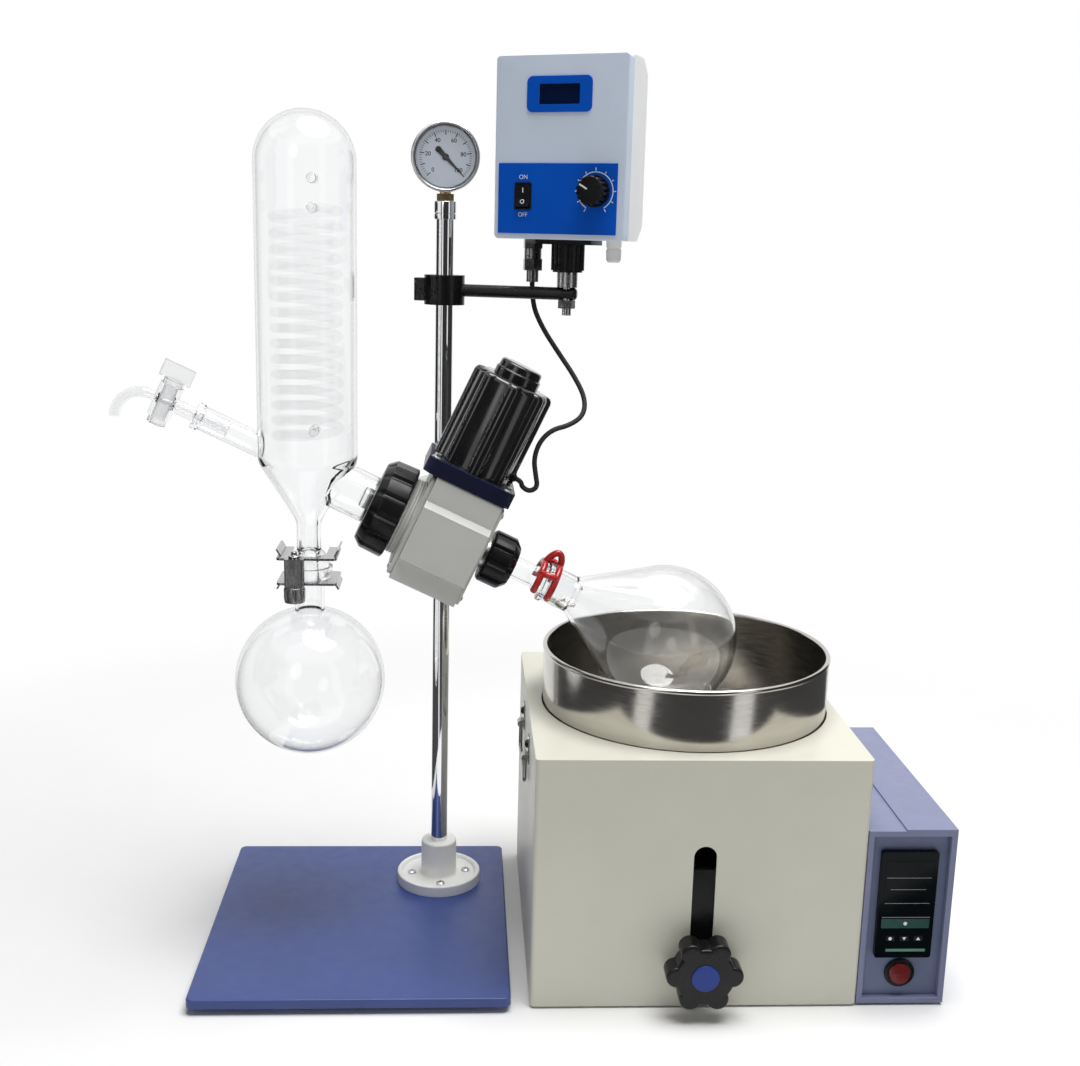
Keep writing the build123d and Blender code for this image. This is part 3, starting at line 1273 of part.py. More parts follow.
POT_Z0 = POT_RIM_Z - POT_DEPTH - POT_WALL
with BuildPart() as bath_pot:
    wall_r = POT_R + POT_WALL
    bead_z = POT_RIM_Z - POT_RIM_R
    corner_in = POT_CORNER_R - POT_WALL
    with BuildSketch(POT):
        with BuildLine():
            Line((POT_Z0, 0), (POT_Z0, wall_r - POT_CORNER_R))
            RadiusArc(
                (POT_Z0, wall_r - POT_CORNER_R), (POT_Z0 + POT_CORNER_R, wall_r), POT_CORNER_R
            )
            Polyline((POT_Z0 + POT_CORNER_R, wall_r), (bead_z, wall_r), (bead_z, POT_R + 2 * POT_RIM_R))
            RadiusArc((bead_z, POT_R + 2 * POT_RIM_R), (bead_z, POT_R), POT_RIM_R)
            Line((bead_z, POT_R), (POT_Z0 + POT_CORNER_R, POT_R))
            RadiusArc(
                (POT_Z0 + POT_CORNER_R, POT_R), (POT_Z0 + POT_WALL, POT_R - corner_in), -corner_in
            )
            Polyline((POT_Z0 + POT_WALL, POT_R - corner_in), (POT_Z0 + POT_WALL, 0), (POT_Z0, 0))
        make_face()
    revolve(axis=Axis(POT.origin, POT.x_dir))

with BuildPart() as heating_ring:
    under_pot = Plane((POT_X, BATH_Y, POT_Z0), z_dir=(0, 0, -1))
    rod(under_pot, HEATER_R, HEATER_T, bore=HEATER_BORE_R)

with BuildPart() as pot_carriage:
    tray = Plane((POT_X, BATH_Y, POT_Z0 - HEATER_T - CARRIAGE_T))
    plate_y = BATH_D / 2 - BATH_SHEET - GAP
    plate_h = POT_Z0 - HEATER_T - LIFT_Z + CARRIAGE_BELOW
    rod(tray, CARRIAGE_R, CARRIAGE_T)
    block(tray, CARRIAGE_W, plate_y, CARRIAGE_T, at=(0, -plate_y / 2))
    guide = facing(POT_X, BATH_Y - plate_y + CARRIAGE_T, LIFT_Z)
    block(guide, CARRIAGE_W, plate_h, CARRIAGE_T, at=(0, plate_h / 2 - CARRIAGE_BELOW))
    slide_l = BATH_SHEET + GAP
    rod(guide.offset(CARRIAGE_T), SLOT_R - GAP, slide_l)
    rod(guide.offset(CARRIAGE_T + slide_l), LIFT_STUD_R, LIFT_STUD_L)

STAR_FACE = facing(POT_X, BATH_FRONT - GAP, LIFT_Z)
with BuildPart() as star_knob:
    rod(STAR_FACE, STAR_BOSS_R, STAR_BOSS_L)
    star(STAR_FACE.offset(STAR_BOSS_L), STAR_CORE_R, STAR_R, STAR_LOBE_R, STAR_LOBES, STAR_T)
    fillet(star_knob.faces().sort_by(Axis.Y)[0].edges(), STAR_EDGE_R)
    rod(STAR_FACE, LIFT_STUD_R + RUN, LIFT_STUD_L + GAP, mode=Mode.SUBTRACT)
    rod(STAR_FACE.offset(STAR_BOSS_L + STAR_T - CAP_SINK), CAP_R + RUN, CAP_SINK, mode=Mode.SUBTRACT)

with BuildPart() as knob_cap:
    rod(STAR_FACE.offset(STAR_BOSS_L + STAR_T - CAP_SINK), CAP_R, CAP_T)
    fillet(knob_cap.faces().sort_by(Axis.Y)[0].edges(), CAP_EDGE_R)

# Control pod
POD_X = BATH_RIGHT + POD_W / 2
POD_FRONT = BATH_FRONT + POD_SETBACK
POD_H = POD_Z1 - POD_Z0
POD = facing(POD_X, POD_FRONT, POD_Z0 + POD_H / 2)
PANEL = POD.offset(-POD_RECESS)
with BuildPart() as pod_shell:
    block(POD.offset(-POD_D), POD_W, POD_H, POD_D)
    block(
        POD.offset(POD_SHEET - POD_D),
        POD_W - 2 * POD_SHEET,
        POD_H - 2 * POD_SHEET,
        POD_D - POD_SHEET - POD_RECESS,
        mode=Mode.SUBTRACT,
    )
    block(PANEL, POD_W - 2 * POD_FRAME, POD_H - 2 * POD_FRAME, POD_RECESS, mode=Mode.SUBTRACT)
    step_w = POD_W * (1 - POD_STEP_SHARE)
    cap_at = (POD_W / 2 - step_w / 2, POD_H / 2 + POD_STEP / 2)
    block(POD.offset(-POD_D), step_w, POD_STEP, POD_D, at=cap_at)

with BuildPart() as pod_panel:
    inner_w = POD_W - 2 * POD_SHEET - 2 * RUN
    inner_h = POD_H - 2 * POD_SHEET - 2 * RUN
    behind = PANEL.offset(-POD_SHEET)
    block(behind, inner_w, inner_h, POD_SHEET)
    well_w = CONTROLLER_W - 2 * CONTROLLER_LIP
    well_h = CONTROLLER_H - 2 * CONTROLLER_LIP
    case_at = (CONTROLLER_SHIFT, CONTROLLER_Z - POD.origin.Z)
    block(behind, well_w, well_h, POD_SHEET, at=case_at, mode=Mode.SUBTRACT)
    switch_at = (CONTROLLER_SHIFT, SWITCH_Z - POD.origin.Z)
    bezel_r = SWITCH_R + SWITCH_BEZEL_W
    rod(PANEL, bezel_r, SWITCH_BEZEL_T, at=switch_at)
    rod(behind, SWITCH_R, -SWITCH_WELL, at=switch_at)
    well_l = SWITCH_WELL + POD_SHEET + SWITCH_BEZEL_T - SWITCH_FLOOR
    well_r = SWITCH_R - SWITCH_WALL
    rod(PANEL.offset(SWITCH_BEZEL_T), well_r, -well_l, at=switch_at, mode=Mode.SUBTRACT)

CONTROLLER = Plane(PANEL.from_local_coords(case_at), x_dir=(1, 0, 0), z_dir=(0, -1, 0))
BUTTONS = [(BUTTON_PITCH * (place - (KEY_COUNT - 1) / 2), BUTTON_Z) for place in range(KEY_COUNT)]
with BuildPart() as controller_case:
    block(CONTROLLER, CONTROLLER_W, CONTROLLER_H, CONTROLLER_BEZEL_T, corner=CONTROLLER_CORNER_R)
    case_w = CONTROLLER_W - 2 * CONTROLLER_LIP - 2 * RUN
    case_h = CONTROLLER_H - 2 * CONTROLLER_LIP - 2 * RUN
    block(CONTROLLER, case_w, case_h, -CONTROLLER_DEPTH)
    pocket = CONTROLLER.offset(CONTROLLER_BEZEL_T - BUTTON_L + BUTTON_PROUD - BUTTON_TRAVEL - GAP)
    for place in BUTTONS:
        block(pocket, BUTTON_W, BUTTON_H, CONTROLLER_BEZEL_T, at=place, mode=Mode.SUBTRACT)

controller_keys = []
for place in BUTTONS:
    with BuildPart() as controller_key:
        base = CONTROLLER.offset(CONTROLLER_BEZEL_T + BUTTON_PROUD - BUTTON_L)
        block(base, BUTTON_W - 2 * GAP, BUTTON_H - 2 * GAP, BUTTON_L, at=place)
    controller_keys.append(controller_key)

SWITCH = Plane(PANEL.from_local_coords((*switch_at, SWITCH_BEZEL_T)), x_dir=(1, 0, 0), z_dir=(0, -1, 0))
with BuildPart() as bath_rocker:
    swing_r = SWITCH_R - SWITCH_WALL - GAP
    rocker_body(SWITCH, 2 * SWITCH_R, SWITCH_R, ROCKER_SINK, ROCKER_LIFT, ROCKER_DROP, ROCKER_VALLEY)
    with Locations(SWITCH):
        Sphere(swing_r, mode=Mode.INTERSECT)

# Motor lead: it hangs from the box gland and loops back into the motor's side
GLAND_END = BOX_UNDER.from_local_coords((GLAND_U, -GLAND_BACK, GLAND_BODY_H + 2 * GLAND_DOME_H))
CORD_END = HEAD_END.from_local_coords((CORD_BOSS_T, 0, CORD_BOSS_S))
CORD_ROUTE = [
    GLAND_END,
    GLAND_END - Vector(0, 0, CORD_DROP),
    (9, 66, 553),
    (24, 60, 531),
    (39, 51, 510),
    (48, 42, 492),
    (46, 33, 478),
    (33, 27, 470),
    (18, 21, 467),
    (7, 17, 457),
    (2, 14, 442),
    (4, 14, 428),
    (6, 14, 417),
    (-0.9, 14, 413),
    (-7.8, 14, 417),
    CORD_END + ALONG * CORD_LEAD,
    CORD_END,
]


def cord_radii(route):
    """As large an arc at each corner as its two runs allow."""
    spots = [Vector(spot) for spot in route]
    radii = []
    for before, here, after in zip(spots, spots[1:], spots[2:]):
        half_turn = radians((here - before).get_angle(after - here) / 2)
        shorter = min((here - before).length, (after - here).length)
        radii.append(CORD_ARC_SHARE * shorter / tan(half_turn))
    return radii


with BuildPart() as motor_cord:
    bends = cord_radii(CORD_ROUTE)
    with BuildLine() as cord_line:
        FilletPolyline(*CORD_ROUTE, radius=bends)
    with BuildSketch(Plane(cord_line.line @ 0, z_dir=cord_line.line % 0)):
        Circle(CORD_R)
    sweep(path=cord_line.line)
cord_length = sum(edge.length for edge in cord_line.edges())
print("cord radii", [round(bend, 1) for bend in bends])
print("cord length", round(cord_length, 1))
print("cord volume share", motor_cord.part.volume / (pi * CORD_R**2 * cord_length))

# Each piece goes to its own file
PIECES = {
    "rubber_feet": rubber_feet,
    "base_plate": base_plate,
    "column_flange": column_flange,
    "column": column,
    "column_collar": column_collar,
    "gauge_stem": gauge_stem,
    "gauge_case": gauge_case,
    "gauge_dial": gauge_dial,
    "gauge_needle": gauge_needle,
    "gauge_lens": gauge_lens,
    "arm_clamp": arm_clamp,
    "support_arm": support_arm,
    "box_stud": box_stud,
    "box_sleeve": box_sleeve,
    "control_box_body": control_box_body,
    "control_box_cover": control_box_cover,
    "control_panel": control_panel,
    "display_window": display_window,
    "power_rocker": power_rocker,
    "speed_knob": speed_knob,
    "motor_gland": motor_gland,
    "mains_inlet": mains_inlet,
    "head_housing": head_housing,
    "head_clamp": head_clamp,
    "clamp_knob": clamp_knob,
    "motor_flange": motor_flange,
    "motor_body": motor_body,
    "motor_end_cap": motor_end_cap,
    "motor_pinion": motor_pinion,
    "drive_gear": drive_gear,
    "drive_shaft": drive_shaft,
    "shaft_bearings": shaft_bearings,
    "condenser_ring": condenser_ring,
    "shaft_seal": shaft_seal,
    "condenser_nut": condenser_nut,
    "flask_nut": flask_nut,
    "vapour_tube": vapour_tube,
    "joint_clip": joint_clip,
    "evaporating_flask": evaporating_flask,
    "condenser_glass": condenser_glass,
    "condenser_coil": condenser_coil,
    "feed_valve": feed_valve,
    "feed_valve_key": feed_valve_key,
    "receiving_flask": receiving_flask,
    "ball_joint_clamp": ball_joint_clamp,
    "motor_cord": motor_cord,
    "bath_housing": bath_housing,
    "bath_top_plate": bath_top_plate,
    "bath_pot": bath_pot,
    "heating_ring": heating_ring,
    "pot_carriage": pot_carriage,
    "star_knob": star_knob,
    "knob_cap": knob_cap,
    "pod_shell": pod_shell,
    "pod_panel": pod_panel,
    "controller_case": controller_case,
    "set_key": controller_keys[0],
    "down_key": controller_keys[1],
    "up_key": controller_keys[2],
    "bath_rocker": bath_rocker,
}

os.makedirs("parts", exist_ok=True)
for name, piece in PIECES.items():
    piece.part.label = name
    export_step(piece.part, f"parts/{name}.step")
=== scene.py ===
import json
from math import asin, atan2, copysign, cos, degrees, hypot, pi, radians, sin, sqrt, tan

import bmesh
import bpy
from mathutils import Matrix, Vector


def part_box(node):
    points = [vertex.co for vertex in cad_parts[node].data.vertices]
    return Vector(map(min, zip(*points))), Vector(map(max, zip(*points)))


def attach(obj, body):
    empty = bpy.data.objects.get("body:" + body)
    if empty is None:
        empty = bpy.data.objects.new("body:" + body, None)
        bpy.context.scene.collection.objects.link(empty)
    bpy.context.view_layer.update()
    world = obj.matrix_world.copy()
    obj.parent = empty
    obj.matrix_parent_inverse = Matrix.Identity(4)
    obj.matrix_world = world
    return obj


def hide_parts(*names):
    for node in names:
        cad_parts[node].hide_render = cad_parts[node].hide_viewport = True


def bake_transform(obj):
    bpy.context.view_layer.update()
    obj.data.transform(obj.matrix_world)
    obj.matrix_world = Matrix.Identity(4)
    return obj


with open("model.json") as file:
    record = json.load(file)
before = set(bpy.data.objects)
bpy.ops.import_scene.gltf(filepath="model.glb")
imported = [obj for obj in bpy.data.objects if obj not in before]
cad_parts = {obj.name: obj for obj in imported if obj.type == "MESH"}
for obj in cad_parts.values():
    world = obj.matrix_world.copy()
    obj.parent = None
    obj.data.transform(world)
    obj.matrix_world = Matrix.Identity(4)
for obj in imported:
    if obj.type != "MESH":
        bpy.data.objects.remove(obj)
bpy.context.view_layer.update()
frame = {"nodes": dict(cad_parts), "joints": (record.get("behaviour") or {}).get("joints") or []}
nodes = frame["nodes"]
scene = bpy.context.scene
scene.view_settings.view_transform = "Standard"

# Sizes below are in millimetres unless a name says otherwise
MM = 0.001
PHOTO_W = 1080
SMOOTH = 96  # points round a turned piece
PRINT_T = 0.08
TUBE_STEPS = 6  # steps in a quarter of a bent tube's section
FILLET_STEPS = 5
CORNER_STEPS = 6

# Camera
CAMERA_AT = Vector((-60.17, -1139.13, 626.06))
CAMERA_YAW = radians(3.44)
CAMERA_PITCH = radians(12.215)
CAMERA_ROLL = radians(1.4726)
FOCAL_PX = 1340.32
SENSOR = 36.0

ahead = cos(CAMERA_PITCH)
forward = Vector((sin(CAMERA_YAW) * ahead, cos(CAMERA_YAW) * ahead, -sin(CAMERA_PITCH)))
level = Vector((cos(CAMERA_YAW), -sin(CAMERA_YAW), 0))
over = level.cross(forward)
right = level * cos(CAMERA_ROLL) + over * sin(CAMERA_ROLL)
up = over * cos(CAMERA_ROLL) - level * sin(CAMERA_ROLL)
camera_data = bpy.data.cameras.new("camera")
camera_data.sensor_width = SENSOR
camera_data.lens = SENSOR * FOCAL_PX / PHOTO_W
camera = bpy.data.objects.new("camera", camera_data)
scene.collection.objects.link(camera)
camera_axes = Matrix((right, up, -forward)).transposed().to_4x4()
camera.matrix_world = Matrix.Translation(CAMERA_AT * MM) @ camera_axes
scene.camera = camera


# Places: a local frame in millimetres from its origin, its x and its z
def local(origin, x_axis, z_axis):
    x_axis = Vector(x_axis).normalized()
    z_axis = Vector(z_axis).normalized()
    turned = Matrix((x_axis, z_axis.cross(x_axis), z_axis)).transposed().to_4x4()
    return Matrix.Translation(Vector(origin)) @ turned


def shift(x, y, z=0):
    return Matrix.Translation((x, y, z))


def standing(x, y, z=0):
    return local((x, y, z), (1, 0, 0), (0, 0, 1))


def facing(x, y, z):
    return local((x, y, z), (1, 0, 0), (0, -1, 0))


def extent(node):
    low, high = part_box(node)
    return Vector(low) / MM, Vector(high) / MM


def middle(node):
    low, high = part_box(node)
    return (Vector(low) + Vector(high)) / 2 / MM


joints = {joint["name"]: joint for joint in frame["joints"]}
HEAD_AT = Vector(joints["flask_rotation"]["pos_m"]) / MM
ALONG = Vector(joints["flask_rotation"]["axis"]).normalized()
ACROSS = Vector(joints["motor_rotation"]["axis"]).normalized()
HEAD = local(HEAD_AT, ACROSS, ALONG)
MOTOR = local(HEAD_AT, ALONG, ACROSS)
COLUMN_AT = middle("column")
CONDENSER_AT = middle("condenser_coil")
POST = standing(COLUMN_AT.x, COLUMN_AT.y)
CONDENSER = standing(CONDENSER_AT.x, HEAD_AT.y)
BOX_YAW = radians(25)
BOX_SIDE = Vector((cos(BOX_YAW), -sin(BOX_YAW), 0))
BOX_OUT = Vector((-sin(BOX_YAW), -cos(BOX_YAW), 0))
BOX_AT = Vector((30.13, 46.21, 704.0))
BOX = local(BOX_AT, BOX_SIDE, BOX_OUT)


# Materials
NOISE_LOW = 0.3  # nearly all of a noise texture lies between these two
NOISE_HIGH = 0.7
LEAST_ROUGH = 0.02
PATCH = 25.0
GRAIN_DEPTH = 0.0004  # metres
GLASS_WAVE = 18.0
GLASS_WAVE_DEPTH = 0.001  # metres
GLASS_PATCH = 30.0
GLASS_SPREAD = 0.02
RIM_FROM = 0.5  # how far a glass surface is turned away where its edge starts to darken


def shader(name):
    made = bpy.data.materials.new(name)
    made.use_nodes = True
    return made, made.node_tree, made.node_tree.nodes["Principled BSDF"].inputs


def put(tree, kind, inputs, family="ShaderNode", **settings):
    """The outputs of a new node. Each of its inputs is set to a value or linked from another output."""
    made = tree.nodes.new(family + kind)
    for key, value in settings.items():
        setattr(made, key, value)
    for key, value in inputs.items():
        if isinstance(value, bpy.types.NodeSocket):
            tree.links.new(value, made.inputs[key])
        else:
            made.inputs[key].default_value = value
    return made.outputs


def vary(tree, scale, low, high, detail=4.0, stretch=(1, 1, 1)):
    """A value between low and high that changes over the surface."""
    where = put(tree, "TexCoord", {})["Object"]
    mapped = put(tree, "Mapping", {"Vector": where, "Scale": stretch})["Vector"]
    noise = put(tree, "TexNoise", {"Vector": mapped, "Scale": scale, "Detail": detail})["Fac"]
    limits = {"From Min": NOISE_LOW, "From Max": NOISE_HIGH, "To Min": low, "To Max": high}
    return put(tree, "MapRange", {"Value": noise, **limits})["Result"]


def toned(tree, first, second, share):
    """A colour between two."""
    ends = {"A": (*first, 1), "B": (*second, 1)}
    return put(tree, "Mix", {**ends, "Factor": share}, data_type="RGBA")["Result"]


def emboss(tree, out, strength, depth, height):
    """Bumps that show in the shading alone."""
    bumps = put(tree, "Bump", {"Strength": strength, "Distance": depth, "Height": height})
    tree.links.new(bumps["Normal"], out["Normal"])


def surface(
    name, colour, rough, metal=0.0, tone=0.05, grain=900.0, bump=0.05, coat=0.0, stretch=(1, 1, 1),
    spread=0.06, shine=0.5,
):
    """A paint, plastic or metal with patches of tone, uneven gloss and a fine grain."""
    made, tree, out = shader(name)
    darker = [channel * (1 - tone) for channel in colour]
    lighter = [min(1, channel * (1 + tone)) for channel in colour]
    patches = vary(tree, PATCH, 0, 1, stretch=stretch)
    tree.links.new(toned(tree, darker, lighter, patches), out["Base Color"])
    smoothest = max(LEAST_ROUGH, rough - spread)
    gloss = vary(tree, PATCH * 3, smoothest, min(1, rough + spread), stretch=stretch)
    tree.links.new(gloss, out["Roughness"])
    out["Metallic"].default_value = metal
    out["Coat Weight"].default_value = coat
    out["Specular IOR Level"].default_value = shine
    if bump:
        emboss(tree, out, bump, GRAIN_DEPTH, vary(tree, grain, 0, 1, 2.0, stretch))
    return made


def clear(name, colour, rough, ior, bump=0.0, rim=0.9):
    """Glass or clear plastic with a slightly uneven surface, darker where it is seen edge on."""
    made, tree, out = shader(name)
    slant = put(tree, "LayerWeight", {"Blend": 0.5})["Facing"]
    limits = {"From Min": RIM_FROM, "From Max": 1.0}
    steep = put(tree, "MapRange", {"Value": slant, **limits}, interpolation_type="SMOOTHSTEP")["Result"]
    edge = [channel * rim for channel in colour]
    tree.links.new(toned(tree, colour, edge, steep), out["Base Color"])
    out["Transmission Weight"].default_value = 1
    out["IOR"].default_value = ior
    gloss = vary(tree, GLASS_PATCH, max(0, rough - GLASS_SPREAD), rough + GLASS_SPREAD)
    tree.links.new(gloss, out["Roughness"])
    if bump:
        emboss(tree, out, bump, GLASS_WAVE_DEPTH, vary(tree, GLASS_WAVE, 0, 1, 1.0))
    return made


PLATE_BLUE = surface("plate_blue", (0.036, 0.066, 0.245), 0.38, grain=1400, bump=0.12)
WHITE_PLASTIC = surface("white_plastic", (0.94, 0.94, 0.92), 0.35, tone=0.02)
RUBBER = surface("rubber", (0.02, 0.02, 0.021), 0.75, bump=0.15)
CHROME = surface("chrome", (0.80, 0.80, 0.81), 0.06, metal=1, tone=0.02, bump=0, spread=0.03)
SATIN = surface("satin_steel", (0.66, 0.66, 0.67), 0.3, metal=1, tone=0.04, bump=0.02)
BRASS = surface("brass", (0.62, 0.47, 0.22), 0.28, metal=1, tone=0.08)
DIAL_WHITE = surface("dial_white", (0.54, 0.58, 0.66), 0.5, tone=0.02, bump=0)
INK = surface("ink", (0.012, 0.012, 0.014), 0.5, tone=0.1, bump=0)
BLACK_METAL = surface("black_metal", (0.006, 0.006, 0.007), 0.28, tone=0.1, bump=0.06, shine=0.3)
BOX_GREY = surface("box_grey", (0.64, 0.72, 0.85), 0.42, tone=0.02, grain=1600, bump=0.1)
BOX_WHITE = surface("box_white", (0.90, 0.91, 0.92), 0.42, tone=0.02, grain=1600, bump=0.1)
PANEL_BLUE = surface("panel_blue", (0.001, 0.088, 0.54), 0.45, shine=0.1, grain=2500, bump=0.06)
DISPLAY = surface("display_dark", (0.002, 0.010, 0.045), 0.08, tone=0.1, bump=0, shine=0.3)
BLACK_PLASTIC = surface("black_plastic", (0.007, 0.007, 0.008), 0.3, tone=0.1, shine=0.28)
GLAND = surface("gland_metal", (0.32, 0.32, 0.31), 0.25, metal=1)
NYLON = surface("white_nylon", (0.82, 0.82, 0.80), 0.45, tone=0.03)
CAST = surface("cast_grey", (0.58, 0.58, 0.555), 0.42, tone=0.03, grain=1500, bump=0.14)
NAVY = surface("navy_metal", (0.008, 0.010, 0.036), 0.32, shine=0.3, tone=0.1, grain=1400, bump=0.12)
MOTOR_BLACK = surface("motor_black", (0.010, 0.010, 0.011), 0.16, tone=0.15, bump=0.03, coat=0.4)
STEEL = surface("steel", (0.60, 0.60, 0.59), 0.3, metal=1, tone=0.06, stretch=(1, 1, 6))
GLASS = clear("glass", (0.975, 0.980, 0.982), 0.02, 1.45, 0.02, 0.5)
FROST = clear("frosted_glass", (0.88, 0.885, 0.89), 0.42, 1.4, rim=0.8)
PALE_GLASS = clear("pale_glass", (0.91, 0.915, 0.92), 0.08, 1.35, 0.02, 0.7)
COIL_GLASS = surface("coil_glass", (0.86, 0.87, 0.88), 0.12, tone=0.02, bump=0, shine=0.8)
COIL_GLASS.node_tree.nodes["Principled BSDF"].inputs["Alpha"].default_value = 0.11
LENS = clear("lens", (0.97, 0.98, 0.98), 0.02, 1.3)
RED = surface("red_plastic", (0.46, 0.012, 0.014), 0.25, tone=0.1, bump=0.03, coat=0.3)
CLAMP_STEEL = surface("clamp_steel", (0.42, 0.42, 0.415), 0.24, metal=1, tone=0.08, stretch=(6, 1, 1))
CREAM = surface("cream_metal", (0.66, 0.65, 0.56), 0.36, shine=0.35, tone=0.015, grain=1500, bump=0.12)
STAINLESS = surface("stainless", (0.55, 0.53, 0.495), 0.17, metal=1, stretch=(1, 1, 8), bump=0, spread=0.04)
BLUE_CAP = surface("blue_cap", (0.016, 0.045, 0.27), 0.35, tone=0.06, shine=0.3)
POD_PANEL = surface("pod_panel", (0.135, 0.165, 0.285), 0.4, tone=0.04, grain=1500, bump=0.12)
POD_BLUE = surface("pod_blue", (0.195, 0.215, 0.345), 0.36, tone=0.04, grain=1500, bump=0.12)
KEY_GREY = surface("key_grey", (0.012, 0.014, 0.015), 0.4, tone=0.06, shine=0.2)
SCREEN = surface("screen_glass", (0.002, 0.004, 0.005), 0.12, tone=0.2, bump=0, shine=0.12)
BAND_GREEN = surface("band_green", (0.012, 0.07, 0.055), 0.3, tone=0.1, bump=0)
FOOT_GREEN = surface("foot_green", (0.10, 0.24, 0.19), 0.35, tone=0.08, bump=0)
LINE_GREY = surface("line_grey", (0.20, 0.21, 0.22), 0.4, bump=0)
DEEP_RED = surface("deep_red", (0.15, 0.006, 0.006), 0.22, tone=0.1, bump=0.02, coat=0.2)
PRINT_WHITE = surface("print_white", (0.78, 0.80, 0.82), 0.5, tone=0.03, bump=0)

# CAD nodes that stay in view
NODE_LOOKS = (
    (RUBBER, ["rubber_feet"]),
    (PLATE_BLUE, ["base_plate"]),
    (BRASS, ["gauge_stem"]),
    (INK, ["gauge_needle"]),
    (BLACK_METAL, ["arm_clamp", "support_arm"]),
    (STEEL, ["box_stud", "shaft_bearings", "drive_shaft", "drive_gear", "motor_pinion", "heating_ring"]),
    (
        BLACK_PLASTIC,
        # pot_carriage is black as painted shade: its colour stands for the shade inside the bath's slot
        ["box_sleeve", "clamp_knob", "power_rocker", "speed_knob", "pot_carriage", "star_knob"],
    ),
    (BOX_WHITE, ["control_box_body"]),
    (BOX_GREY, ["control_box_cover"]),
    (PANEL_BLUE, ["control_panel"]),
    (DISPLAY, ["display_window"]),
    (GLAND, ["motor_gland"]),
    (CREAM, ["bath_housing", "bath_top_plate"]),
    (POD_BLUE, ["pod_shell"]),
    (POD_PANEL, ["pod_panel"]),
    (SCREEN, ["controller_case"]),
    (CAST, ["head_housing", "head_clamp"]),
    (NAVY, ["motor_flange"]),
    (NYLON, ["shaft_seal"]),
    (PALE_GLASS, ["feed_valve"]),
    (CLAMP_STEEL, ["ball_joint_clamp"]),
    (FROST, ["feed_valve_key"]),
    (BLUE_CAP, ["knob_cap"]),
    (KEY_GREY, ["set_key", "down_key", "up_key"]),
    (DEEP_RED, ["bath_rocker"]),
)
EDGE_WIDTHS = {
    "control_box_body": 1.0, "head_housing": 0.8, "motor_flange": 1.0, "bath_housing": 0.8,
    "bath_top_plate": 0.5, "pod_shell": 0.7, "controller_case": 0.8, "ball_joint_clamp": 0.4,
    "head_clamp": 0.8, "arm_clamp": 0.6, "gauge_stem": 0.4, "control_panel": 0.3, "power_rocker": 0.4,
    "bath_rocker": 0.4, "clamp_knob": 1.0,
}
SHARP = radians(34)
WELD_GAP = 0.00002  # metres


def soft_edge_nodes():
    """A node group that shades smooth except over sharp edges."""
    group = bpy.data.node_groups.new("soft_edges", "GeometryNodeTree")
    for way in ("INPUT", "OUTPUT"):
        group.interface.new_socket("Geometry", in_out=way, socket_type="NodeSocketGeometry")
    given = group.nodes.new("NodeGroupInput").outputs[0]
    angle = put(group, "InputMeshEdgeAngle", {}, "GeometryNode")["Unsigned Angle"]
    limit = {"A": angle, "B": SHARP}
    sharp = put(group, "Compare", limit, "FunctionNode", operation="GREATER_THAN")["Result"]
    faces = put(group, "SetShadeSmooth", {"Geometry": given}, "GeometryNode")["Geometry"]
    kept = {"Geometry": faces, "Selection": sharp, "Shade Smooth": False}
    edges = put(group, "SetShadeSmooth", kept, "GeometryNode", domain="EDGE")["Geometry"]
    group.links.new(edges, group.nodes.new("NodeGroupOutput").inputs[0])
    return group


SOFT_EDGES = soft_edge_nodes()


def soften(piece, edge=0.0, weld=False):
    """Bevel a piece's edges where asked and shade it smooth between its sharp edges."""
    if weld:
        piece.modifiers.new("weld", "WELD").merge_threshold = WELD_GAP
    if edge:
        bevel = piece.modifiers.new("bevel", "BEVEL")
        bevel.width = edge * MM
        bevel.segments = 2
        bevel.limit_method = "ANGLE"
        bevel.angle_limit = SHARP
        bevel.use_clamp_overlap = True
    piece.modifiers.new("soft_edges", "NODES").node_group = SOFT_EDGES
    if edge:
        piece.modifiers.new("flat_faces", "WEIGHTED_NORMAL").keep_sharp = True


for look, dressed in NODE_LOOKS:
    for node in dressed:
        mesh = nodes[node].data
        mesh.materials.clear()
        mesh.materials.append(look)
        soften(nodes[node], EDGE_WIDTHS.get(node, 0.0), weld=True)


# Mesh pieces
def add(name, mesh, look, body=None, replaced=(), edge=0.0):
    """A piece of the scene, on a body if one is named, in place of the CAD nodes it replaces."""
    mesh.materials.append(look)
    piece = bpy.data.objects.new(name, mesh)
    scene.collection.objects.link(piece)
    soften(piece, edge)
    if body:
        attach(piece, body)
    if replaced:
        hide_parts(*replaced)
    return piece


def mesh_of(name, points, faces, place):
    mesh = bpy.data.meshes.new(name)
    mesh.from_pydata([tuple(point) for point in points], [], faces)
    mesh.transform(Matrix.Scale(MM, 4) @ place)
    tidy = bmesh.new()
    tidy.from_mesh(mesh)
    bmesh.ops.recalc_face_normals(tidy, faces=tidy.faces)
    tidy.to_mesh(mesh)
    tidy.free()
    return mesh


def rounded(outline):
    """Round the corners of an outline of (along, radius) or (along, radius, fillet) points."""
    done = []
    count = len(outline)
    for index, corner in enumerate(outline):
        here = Vector(corner[:2])
        fillet = corner[2] if len(corner) > 2 else 0
        if not fillet:
            done.append(tuple(here))
            continue
        before = (Vector(outline[index - 1][:2]) - here).normalized()
        after = (Vector(outline[(index + 1) % count][:2]) - here).normalized()
        half = before.angle(after) / 2
        reach = fillet / tan(half)
        centre = here + (before + after).normalized() * fillet / sin(half)
        start = here + before * reach - centre
        turn = start.angle_signed(here + after * reach - centre)
        for step in range(FILLET_STEPS + 1):
            spun = Matrix.Rotation(-turn * step / FILLET_STEPS, 2) @ start
            done.append(tuple(centre + spun))
    return done


